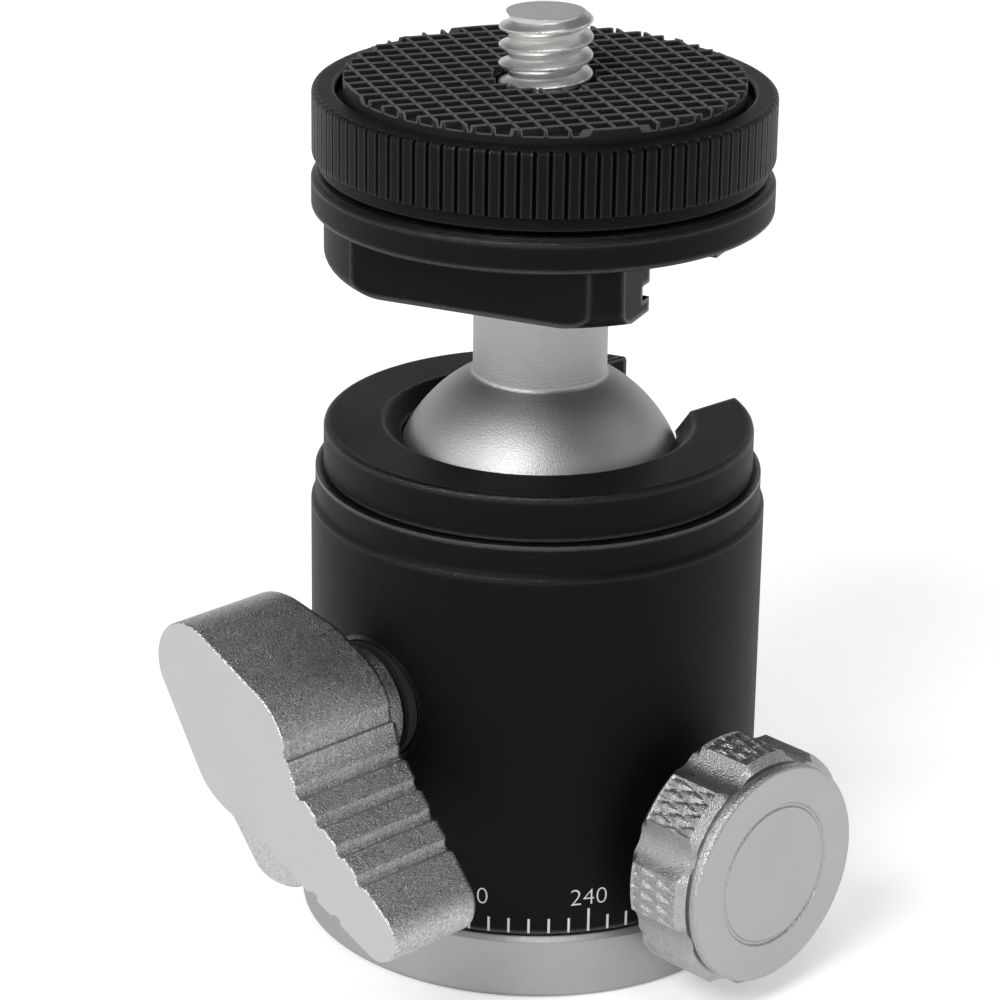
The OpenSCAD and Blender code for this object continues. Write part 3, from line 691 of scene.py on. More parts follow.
    def _relief(self, graph: Graph, shader: bpy.types.Node, effects: Effects,
                where: bpy.types.NodeSocket, share: Optional[bpy.types.NodeSocket]) -> None:
        """Feeds the shader's normal from grains and turning lines.

        Args:
            graph: the material's graph.
            shader: the material's shader.
            effects: the shared node groups.
            where: the pattern's coordinates.
            share: the share of the grain that shows, where it varies.
        """
        normal: Optional[bpy.types.NodeSocket] = None
        for tree, size, depth in ((effects.lines, self.line_size, self.line_depth),
                                  (effects.grain, self.grain_size, self.grain_depth)):
            if not depth:
                continue
            marks = self._use(graph, tree, where, 1000 / size)
            bump = graph.node("ShaderNodeBump")
            bump.inputs["Distance"].default_value = depth * MM
            graph.link(marks.outputs["Height"], bump.inputs["Height"])
            if share is not None:
                graph.link(share, bump.inputs["Strength"])
            if normal is not None:
                graph.link(normal, bump.inputs["Normal"])
            normal = bump.outputs["Normal"]
        if normal is not None:
            graph.link(normal, shader.inputs["Normal"])


# The black finishes have a painted highlight: their colour is lightened along the edges.
BLACK = Finish("black_anodised", (0.0030, 0.0030, 0.0032), 0.42, specular=0.11, grain_size=0.085,
               grain_depth=0.020, line_size=0.16, line_depth=0.003, handling=0.08, edge_width=0.40,
               edge_lift=0.075, edge_polish=0.22)
KNURLED = replace(BLACK, name="black_knurled", edge_width=0.20, edge_lift=0.03)
SATIN = Finish("satin_aluminium", (0.50, 0.50, 0.495), 0.46, 1.0, grain_size=0.10, grain_depth=0.014,
               line_size=0.14, line_depth=0.004, handling=0.04)
BLASTED = Finish("blasted_aluminium", (0.61, 0.61, 0.625), 0.29, 1.0, grain_size=0.115, grain_depth=0.040,
                 sparkle=0.10, grain_tone=0.62, face_grain=0.04, handling=0.03)
TURNED = Finish("turned_aluminium", (0.52, 0.52, 0.53), 0.36, 1.0, grain_size=0.10, grain_depth=0.036,
                sparkle=0.12, grain_tone=0.18, face_grain=0.15, handling=0.03)
STUD = Finish("stud_steel", (0.80, 0.795, 0.78), 0.32, 1.0, grain_size=0.09, grain_depth=0.012,
              line_size=0.12, line_depth=0.004, handling=0.06)
STEEL = Finish("steel", (0.42, 0.43, 0.44), 0.35, 1.0, grain_size=0.10, grain_depth=0.004, line_size=0.12,
               line_depth=0.005, handling=0.12)
BRASS = Finish("brass", (0.60, 0.42, 0.17), 0.30, 1.0, grain_size=0.10, grain_depth=0.004, line_size=0.12,
               line_depth=0.005, handling=0.12)
NYLON = Finish("nylon", (0.018, 0.018, 0.019), 0.50, specular=0.4, grain_size=0.3, grain_depth=0.01, handling=0.05)
# The rubber's colour is lightened along its edges as well, a painted highlight.
RUBBER = Finish("rubber", (0.008, 0.008, 0.009), 0.60, specular=0.35, grain_size=0.09, grain_depth=0.02,
                handling=0.25, patch_size=4.0, edge_width=0.12, edge_lift=0.09)
INK = Finish("dial_ink", (0.72, 0.72, 0.71), 0.55, grain_size=0.12, grain_depth=0.004, handling=0.08, patch_size=2.0)


@dataclass
class Workshop:
    """Hands out each finish once for each way that pieces lie."""

    effects: Effects = field(default_factory=Effects)
    made: dict[tuple[str, str, float], bpy.types.Material] = field(default_factory=dict)

    def finish(self, finish: Finish, lay: Lay = Lay.UP, centre: float = 0.0) -> bpy.types.Material:
        """Gives a finish's material, building it the first time."""
        key = (finish.name, lay.name, centre)
        if key not in self.made:
            self.made[key] = finish.material(self.effects, lay, centre)
        return self.made[key]

    def dress(self, node: str, finish: Finish, lay: Lay = Lay.UP, centre: float = 0.0) -> None:
        """Gives a carried CAD node a finish."""
        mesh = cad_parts[node].data
        mesh.materials.clear()
        mesh.materials.append(self.finish(finish, lay, centre))


@dataclass
class Foot:
    """The bright foot with its spigot, and the tripod bush in it."""

    shop: Workshop
    chamfer: float = 0.38
    top_radius: float = 16.0
    disc_height: float = 4.45
    slip_radius: float = 13.0
    slip_depth: float = 0.5
    spigot_radius: float = 9.95
    groove_height: float = 10.1
    groove_depth: float = 1.2
    bush_radius: float = 4.7625
    thread: Thread = Thread(crest=3.17, root=2.60, pitch=1.27)

    def build(self) -> None:
        """Builds the foot and dresses it and the pieces below the housing."""
        extent, bush = Extent.of("base_foot"), Extent.of("tripod_bush")
        wide, top, c = extent.radius, self.disc_height, self.chamfer
        low_groove = self.groove_height - self.groove_depth
        high_groove = self.groove_height + self.groove_depth
        outline = [
            Corner(0, bush.top + self.thread.pitch), Corner(3.22, bush.top + self.thread.pitch),
            Corner(3.22, bush.top), Corner(self.bush_radius, bush.top), Corner(self.bush_radius, 0.15, 0.0),
            Corner(self.bush_radius + 0.15, 0), Corner(wide - c, 0, 0.12), Corner(wide, c, 0.12),
            Corner(self.top_radius, top - c, 0.08), Corner(self.top_radius - c, top, 0.08),
            Corner(self.slip_radius, top), Corner(self.slip_radius, top - self.slip_depth),
            Corner(self.spigot_radius, top - self.slip_depth), Corner(self.spigot_radius, low_groove),
            Corner(self.spigot_radius - self.groove_depth, self.groove_height),
            Corner(self.spigot_radius, high_groove), Corner(self.spigot_radius, extent.top, 0.2),
            Corner(0, extent.top)]
        as_piece(turned(outline), "foot_disc", "base", self.shop.finish(SATIN), ["base_foot"])
        self._bush(bush)
        self.shop.dress("pan_slip_ring", NYLON)

    def _bush(self, extent: Extent) -> None:
        """Builds the bush with its inside thread and its screwdriver slot.

        Args:
            extent: box of the bush's CAD node.
        """
        blank = turned([Corner(0, extent.bottom), Corner(self.bush_radius, extent.bottom, 0.1),
                        Corner(self.bush_radius, extent.top), Corner(0, extent.top)], 96)
        core = self.thread.surface(extent.bottom - 1, extent.top + 1)
        bmesh.ops.holes_fill(core, edges=[e for e in core.edges if e.is_boundary], sides=0)
        bush = carved(blank, merged(core))
        pitch = self.thread.pitch
        slot = box_shape((-9, -pitch / 2, -1), (9, pitch / 2, pitch / 2))
        as_piece(carved(bush, slot), "threaded_bush", "base", self.shop.finish(STEEL), ["tripod_bush"])


@dataclass
class Notch:
    """The drop notch: a slot with a round bottom that opens upwards, along +X."""

    half_width: float = 5.6
    centre_height: float = 31.1
    turn: float = -2.0
    start: float = 5.25
    reach: float = 32.0
    rise: float = 17.2

    def offset(self, point: Vector) -> float:
        """Gives a point's distance from the notch's middle plane."""
        side = math.radians(self.turn)
        return abs(point.y * math.cos(side) - point.x * math.sin(side))

    def holds(self, point: Vector, margin: float = 0.05) -> bool:
        """Tells whether a point lies between the notch's walls, or within a margin of them."""
        return self.offset(point) < self.half_width + margin

    def cutter(self, gap: float = 0.0, steps: int = 40) -> bmesh.types.BMesh:
        """Makes the notch as a solid.

        Args:
            gap: how much wider it is on each side.
            steps: number of faces round its bottom.

        Returns:
            A closed mesh.
        """
        half = self.half_width + gap
        round_bottom = [polar(180 + 180 * i / steps, half) for i in range(steps + 1)]
        outline = [Vector((-half, self.rise)), *round_bottom, Vector((half, self.rise))]
        bm = prism(outline, self.start, self.start + self.reach)
        bm.transform(Matrix.Rotation(math.radians(self.turn), 4, "Z")
                     @ Matrix.Translation((0, 0, self.centre_height)) @ Lay.MAIN.value.to_4x4())
        return bm


@dataclass
class Housing:
    """The black housing, its collar, the printed dial and the small screws."""

    shop: Workshop
    notch: Notch = field(default_factory=Notch)
    chamfer: float = 0.12
    bore_radius: float = 10.0
    bore_top: float = 12.6
    chamber_radius: float = 11.75
    chamber_floor: float = 14.0
    skirt_radius: float = 12.9
    skirt_bottom: float = 28.55
    shoulder: float = 30.95
    band_bottom: float = 31.4
    band_radius: float = 15.55
    main_height: float = 20.0
    main_spot: float = 4.3
    main_spot_depth: float = 0.65
    main_hole: float = 2.55
    pan_height: float = 10.1
    pan_spot: float = 3.7
    pan_spot_depth: float = 0.5
    pan_hole: float = 2.05
    keeper_angles: tuple[float, float] = (30.0, 150.0)
    keeper_radius: float = 1.5
    collar_screw_angle: float = 60.0
    collar_screw_height: float = 32.375
    collar_screw_radius: float = 1.0

    def build(self) -> None:
        """Builds the housing, collar and dial, and dresses the small pieces."""
        extent = Extent.of("housing")
        self._housing(extent)
        Collar(self.shop, self.notch).build()
        Dial(self.shop, extent.radius).build()
        for node in ("housing_keeper_screws", "collar_lock_screw", "lower_seat", "wedge_pusher"):
            self.shop.dress(node, STEEL)
        for node in ("upper_seat", "ball_liner", "pan_brake_pad"):
            self.shop.dress(node, NYLON)

    def _housing(self, extent: Extent) -> None:
        """Builds the housing.

        Args:
            extent: box of the housing's CAD node.
        """
        r = extent.radius
        body = self._turned_body(extent)
        body = carved(body, self.notch.cutter())
        bevel_edges(body, self._notch_edges(body), 0.12, 2)
        for spot, depth, hole, lay, height in (
                (self.main_spot, self.main_spot_depth, self.main_hole, Lay.MAIN, self.main_height),
                (self.pan_spot, self.pan_spot_depth, self.pan_hole, Lay.PAN, self.pan_height)):
            body = carved(body, rod(spot, r - depth, 2 * r, lay, height))
            body = carved(body, rod(hole, self.bore_radius - 2, 2 * r, lay, height))
        for angle in self.keeper_angles:
            body = carved(body, rod(self.keeper_radius, self.bore_radius - 2, 2 * r, Lay.PAN, self.pan_height,
                                    angle + 90, 48))
        body = carved(body, rod(self.collar_screw_radius, self.skirt_radius - 1, 2 * r, Lay.PAN,
                                self.collar_screw_height, self.collar_screw_angle + 90, 32))
        as_piece(body, "housing_shell", "housing", self.shop.finish(BLACK), ["housing"])

    def _turned_body(self, extent: Extent) -> bmesh.types.BMesh:
        """Turns the housing's outline with its two hollows.

        Args:
            extent: box of the housing's CAD node.

        Returns:
            The turned body.
        """
        r, c = extent.radius, self.chamfer
        return turned([
            Corner(0, self.bore_top), Corner(self.bore_radius, self.bore_top), Corner(self.bore_radius, extent.bottom),
            Corner(r - c, extent.bottom), Corner(r, extent.bottom + c), Corner(r, self.shoulder, 0.10),
            Corner(self.band_radius, self.band_bottom, 0.06), Corner(self.band_radius, extent.top, 0.08),
            Corner(self.skirt_radius, extent.top), Corner(self.skirt_radius, self.skirt_bottom),
            Corner(self.chamber_radius, self.skirt_bottom), Corner(self.chamber_radius, self.chamber_floor),
            Corner(0, self.chamber_floor)], 192)

    def _notch_edges(self, body: bmesh.types.BMesh) -> list[bmesh.types.BMEdge]:
        """Finds the edges where the notch opens through the housing's side.

        Args:
            body: the housing after the notch is cut.

        Returns:
            The edges of the notch's mouth.
        """
        n = self.notch
        return sharp_edges(body, lambda p: p.x > self.skirt_radius - 1.5 and n.holds(p)
                           and math.hypot(p.x, p.y) > self.band_radius - 0.1 and p.z < self.shoulder - 0.2)


@dataclass
class Collar:
    """The collar that keeps the ball in."""

    shop: Workshop
    notch: Notch
    ease: float = 0.38
    foot_chamfer: float = 0.12
    mouth_radius: float = 10.8
    mouth_height: float = 1.15
    lip_radius: float = 9.55
    skirt_radius: float = 12.9
    skirt_height: float = 4.8
    seat_radius: float = 11.85
    seat_top: float = 34.4

    def build(self) -> None:
        """Builds the collar with its mouth and notch."""
        extent, ring = Extent.of("collar"), Extent.of("upper_seat")
        r, top = extent.radius, extent.top
        side = extent.bottom + self.skirt_height
        inside = ring.top
        bore = 10.15
        outline = [
            Corner(self.seat_radius, extent.bottom), Corner(self.skirt_radius, extent.bottom),
            Corner(self.skirt_radius, side), Corner(r - self.foot_chamfer, side),
            Corner(r, side + self.foot_chamfer), Corner(r, top, self.ease),
            Corner(self.mouth_radius, top, 0.10), Corner(self.lip_radius, top - self.mouth_height, 0.05),
            Corner(bore, inside), Corner(self.seat_radius, inside)]
        bm = carved(turned(outline, 192), self.notch.cutter())
        n = self.notch
        mouth = sharp_edges(bm, lambda p: p.x > self.lip_radius - 3 and n.holds(p) and p.z > side + 0.05, 30)
        ends = [e for e in mouth if min(n.offset(v.co) for v in e.verts) > n.half_width - 0.02]
        bevel_edges(bm, ends, 0.12, 3)
        as_piece(merged(bm), "collar_ring", "housing", self.shop.finish(BLACK), ["collar"])


@dataclass
class Dial:
    """Degree marks and numbers printed round the housing's lower edge."""

    shop: Workshop
    radius: float
    low: float = 4.76
    short_top: float = 5.85
    long_top: float = 6.5
    line_width: float = 0.165
    stroke: float = -0.018
    ink: float = 0.012
    step: int = 5
    number_step: int = 30
    number_bottom: float = 6.8
    number_height: float = 1.2
    number_spread: float = 1.02
    covered: tuple[int, ...] = (270,)

    def build(self) -> None:
        """Builds all marks as one thin printed piece."""
        bm = bmesh.new()
        for angle in range(0, 360, self.step):
            numbered = angle % self.number_step == 0 and angle not in self.covered
            self._mark(bm, angle, self.long_top if numbered else self.short_top)
            if numbered:
                self._number(bm, angle)
        as_piece(bm, "dial_print", "housing", self.shop.finish(INK))

    def _wrap(self, verts: Sequence[bmesh.types.BMVert], angle: float) -> None:
        """Bends flat marks round the housing: X runs round it, Y up, Z out.

        Args:
            verts: vertices of a mark, drawn flat about its own place.
            angle: angle of the place, in degrees.
        """
        for vert in verts:
            out = self.radius + vert.co.z
            place = polar(angle + math.degrees(vert.co.x / self.radius), out)
            vert.co = Vector((place.x, place.y, vert.co.y))

    def _mark(self, bm: bmesh.types.BMesh, angle: float, top: float) -> None:
        """Adds one line of the scale.

        Args:
            bm: mesh of the print.
            angle: angle of the line, in degrees.
            top: height at which the line ends.
        """
        centre = Vector((0, (self.low + top) / 2, 0))
        size = Matrix.Diagonal((self.line_width, top - self.low, 2 * self.ink, 1))
        made = bmesh.ops.create_cube(bm, size=1.0, matrix=Matrix.Translation(centre) @ size)
        self._wrap(made["verts"], angle)

    def _number(self, bm: bmesh.types.BMesh, angle: int) -> None:
        """Adds the number of one long line.

        Args:
            bm: mesh of the print.
            angle: angle of the number, in degrees.
        """
        text = bpy.data.curves.new("dial_number", "FONT")
        text.body = str(angle)
        text.align_x = "CENTER"
        text.size = 1.0
        text.extrude = 0.5
        text.offset = self.stroke
        holder = bpy.data.objects.new("dial_number", text)
        bpy.context.scene.collection.objects.link(holder)
        bpy.context.view_layer.update()
        mesh = bpy.data.meshes.new_from_object(holder.evaluated_get(bpy.context.evaluated_depsgraph_get()))
        before = set(bm.verts)
        bm.from_mesh(mesh)
        fresh = [v for v in bm.verts if v not in before]
        height = max(v.co.y for v in fresh) - min(v.co.y for v in fresh)
        scale = self.number_height / height
        low = min(v.co.y for v in fresh)
        for vert in fresh:
            vert.co = Vector((vert.co.x * scale * self.number_spread,
                              (vert.co.y - low) * scale + self.number_bottom, vert.co.z * 2 * self.ink))
        self._wrap(fresh, angle)
        bpy.data.objects.remove(holder)
        bpy.data.curves.remove(text)
        bpy.data.meshes.remove(mesh)


@dataclass
class Ball:
    """The ball and its stem, turned in one piece."""

    shop: Workshop
    centre: float = 30.8
    radius: float = 10.5
    stem_radius: float = 4.65
    ease: float = 0.22
    steps: int = 56

    def build(self) -> None:
        """Builds the ball and stem."""
        extent = Extent.of("ball_stem")
        join = math.degrees(math.acos(self.stem_radius / self.radius))
        arc = [polar(-90 + (join + 90) * i / self.steps, self.radius) for i in range(self.steps + 1)]
        outline = [Corner(p.x, self.centre + p.y) for p in arc[:-1]]
        outline[0] = Corner(0, self.centre - self.radius)
        outline.append(Corner(arc[-1].x, self.centre + arc[-1].y, self.ease))
        outline += [Corner(self.stem_radius, extent.top, 0.15), Corner(0, extent.top)]
        as_piece(turned(outline, 128), "ball_and_stem", "ball", self.shop.finish(SATIN),
                 ["ball_stem"], math.radians(40))


@dataclass
class Platform:
    """The flange with its slotted block, and the stud that stands in it."""

    shop: Workshop
    turn: float = 22.0
    flange_height: float = 2.45
    flange_chamfer: float = 0.42
    block_radius: float = 14.9
    block_half_width: float = 12.2
    block_end: float = 10.4
    block_ease: float = 1.2
    channel_half_width: float = 6.25
    channel_end: float = 5.6
    undercut: float = 1.2
    undercut_height: float = 1.0
    lip: float = 1.0
    thread: Thread = Thread(crest=3.175, root=2.50, pitch=1.27)
    nose: float = 0.45
    shank_radius: float = 2.86

    def build(self) -> None:
        """Builds the platform and the stud."""
        extent = Extent.of("platform")
        r = extent.radius
        bottom, top = extent.bottom, extent.top
        seam = top - self.flange_height
        flange = turned([
            Corner(0, seam - 0.01), Corner(self.block_radius - 3, seam - 0.01), Corner(self.block_radius - 3, seam),
            Corner(r, seam, 0.22), Corner(r, top - self.flange_chamfer, 0.08),
            Corner(r - self.flange_chamfer, top, 0.08), Corner(0, top)], 192)
        block = turned([Corner(0, bottom), Corner(self.block_radius, bottom, self.block_ease, 10),
                        Corner(self.block_radius, seam + 0.3), Corner(0, seam + 0.3)], 192)
        for way, reach in (((-1, 0), self.block_half_width), ((1, 0), self.block_half_width),
                           ((0, -1), self.block_end)):
            normal = Vector((*way, 0))
            cut_plane(block, normal * reach, normal)
        half, end = self.channel_half_width, -self.channel_end
        block = carved(merged(block), box_shape((-half, -20, bottom - 1), (half, end, seam)))
        floor = bottom + self.lip
        block = carved(block, box_shape((-half - self.undercut, -20, floor),
                                        (half + self.undercut, end, floor + self.undercut_height)))
        joined = carved(merged(block), flange, Carve.JOIN)
        joined = carved(joined, turned([Corner(0, bottom - 2), Corner(self.shank_radius, bottom - 2),
                                        Corner(self.shank_radius, top + 2), Corner(0, top + 2)], 64))
        joined.transform(Matrix.Rotation(math.radians(self.turn), 4, "Z"))
        as_piece(joined, "platform_body", "platform", self.shop.finish(BLACK), ["platform"])
        self._stud()

    def _stud(self) -> None:
        """Builds the camera stud with its helical thread."""
        extent, pad = Extent.of("camera_stud"), Extent.of("rubber_pad")
        stud = self.thread.stud(pad.bottom + 0.1, extent.top, self.nose)
        bevel_edges(stud, sharp_edges(stud, lambda p: p.z > extent.top - 0.01, 25), 0.06, 2)
        shank = turned([Corner(0, extent.bottom), Corner(self.shank_radius, extent.bottom, 0.2),
                        Corner(self.shank_radius, pad.bottom + 0.3), Corner(0, pad.bottom + 0.3)], 64)
        joined = carved(merged(stud), shank, Carve.JOIN)
        as_piece(joined, "screw_stud", "platform", self.shop.finish(STUD), ["camera_stud"],
                 math.radians(38))


@dataclass
class LockDisc:
    """The knurled lock disc with its rubber pad."""

    shop: Workshop
    teeth: int = 96
    groove_depth: float = 0.30
    groove_share: float = 0.27
    neck_radius: float = 15.2
    neck_height: float = 0.95
    rim_inside: float = 14.1
    rim_depth: float = 0.9
    top_ease: float = 0.36
    low_ease: float = 0.3
    insert_radius: float = 5.0
    washer_radius: float = 8.1
    washer_room: float = 0.35

    def build(self) -> None:
        """Builds the disc and its pad and dresses the insert and washer."""
        extent = Extent.of("lock_disc")
        r, low, top = extent.radius, extent.bottom, extent.top
        knurl = low + self.neck_height
        floor = top - self.rim_depth
        bend = [i / 4 * 90 for i in range(5)]
        rise = [(r - self.low_ease + polar(a - 90, self.low_ease).x,
                 knurl + self.low_ease + polar(a - 90, self.low_ease).y) for a in bend]
        fall = [(r - self.top_ease + polar(a, self.top_ease).x,
                 top - self.top_ease + polar(a, self.top_ease).y) for a in bend]
        levels = [(self.insert_radius, low + self.washer_room), (self.washer_radius, low + self.washer_room),
                  (self.washer_radius, low), (self.neck_radius - 0.15, low), (self.neck_radius, low + 0.15),
                  (self.neck_radius, knurl - 0.001), *rise, *fall,
                  (self.rim_inside + 0.12, top - 0.0005), (self.rim_inside, top - 0.12), (self.rim_inside, floor),
                  (self.insert_radius, floor)]
        first = 6
        weights = {first + 1: 0.25, first + 2: 0.7, first + 3: 0.95, first + 4: 1.0,
                   first + 5: 1.0, first + 6: 1.0, first + 7: 0.75, first + 8: 0.3}
        pitch = 360 / self.teeth
        shares = (0.0, 0.06, 0.5 - self.groove_share / 2, 0.5 - self.groove_share / 5, 0.5,
                  0.5 + self.groove_share / 5, 0.5 + self.groove_share / 2, 0.94, 1.0)

        def radius_at(angle: float, level: int) -> float:
            """Gives a level's radius, drawn in where a groove passes."""
            away = abs(angle / pitch - 0.5) / (self.groove_share / 2)
            sunk = self.groove_depth * max(0.0, 1 - away) ** 0.7
            return levels[level][0] - sunk * weights.get(level, 0.0)

        bm = sectored(levels, [pitch * s for s in shares], self.teeth, radius_at)
        as_piece(bm, "knurled_disc", "lock_disc", self.shop.finish(KNURLED), ["lock_disc"],
                 math.radians(28))
        RubberPad(self.shop).build()
        self.shop.dress("lock_disc_insert", BRASS)
        self.shop.dress("disc_slip_washer", NYLON)


@dataclass
class RubberPad:
    """The rubber pad with its crossed ridges."""

    shop: Workshop
    pitch: float = 1.5
    ridge: float = 0.26
    cell_depth: float = 0.45
    grid_turn: float = 65.0
    cells: int = 20

    def build(self) -> None:
        """Builds the pad from a sheet of cells, cut round."""
        extent, stud = Extent.of("rubber_pad"), Extent.of("camera_stud")
        r = extent.radius
        half = self.cells * self.pitch / 2
        floor = extent.top - self.cell_depth
        sheet = bmesh.new()
        bmesh.ops.create_grid(sheet, x_segments=self.cells, y_segments=self.cells, size=half,
                              matrix=Matrix.Translation((0, 0, extent.top)))
        bmesh.ops.inset_individual(sheet, faces=list(sheet.faces), thickness=self.ridge / 2)
        wells = [f for f in sheet.faces if f.calc_area() > (self.pitch - self.ridge) ** 2 * 0.9]
        sunk = bmesh.ops.extrude_discrete_faces(sheet, faces=wells)["faces"]
        for face in sunk:
            middle = face.calc_center_median()
            for vert in face.verts:
                vert.co.z = floor
                vert.co.x = middle.x + (vert.co.x - middle.x) * 0.93
                vert.co.y = middle.y + (vert.co.y - middle.y) * 0.93
        rim = [e for e in sheet.edges if e.is_boundary]
        walls = bmesh.ops.extrude_edge_only(sheet, edges=rim)["geom"]
        for vert in (v for v in walls if isinstance(v, bmesh.types.BMVert)):
            vert.co.z = extent.bottom
        bmesh.ops.holes_fill(sheet, edges=[e for e in sheet.edges if e.is_boundary], sides=0)
        sheet.transform(Matrix.Rotation(math.radians(self.grid_turn), 4, "Z"))
        disc = turned([Corner(0, extent.bottom - 1), Corner(r, extent.bottom - 1), Corner(r, extent.top + 1),
                       Corner(0, extent.top + 1)], 128)
        pad = carved(merged(sheet), disc, Carve.COMMON)
        hole = 3.575
        pad = carved(pad, turned([Corner(0, extent.bottom - 2), Corner(hole, extent.bottom - 2),
                                  Corner(hole, extent.top + 2), Corner(0, extent.top + 2)], 64))
        as_piece(pad, "ridged_pad", "lock_disc", self.shop.finish(RUBBER), ["rubber_pad"])
        LOG.info("pad hole clears the stud by %.2f mm", hole - (stud.high.x - stud.low.x) / 2)


@dataclass(frozen=True)
class Lobe:
    """A tapered bar with round ends, seen flat."""

    start: Vector
    start_radius: float
    end: Vector
    end_radius: float

    def distance(self, point: Vector) -> float:
        """Gives a point's distance to the lobe's outline, below zero inside it.

        Args:
            point: the point.

        Returns:
            The signed distance.
        """
        run = self.end - self.start
        length = run.length
        along = run / length
        offset = point - self.start
        x = offset.dot(along)
        y = abs(offset.dot(Vector((-along.y, along.x))))
        lean = (self.start_radius - self.end_radius) / length
        flat = math.sqrt(1 - lean * lean)
        shift = x * flat - y * lean
        if shift < 0:
            return math.hypot(x, y) - self.start_radius
        if shift > flat * length:
            return math.hypot(x - length, y) - self.end_radius
        return x * lean + y * flat - self.start_radius


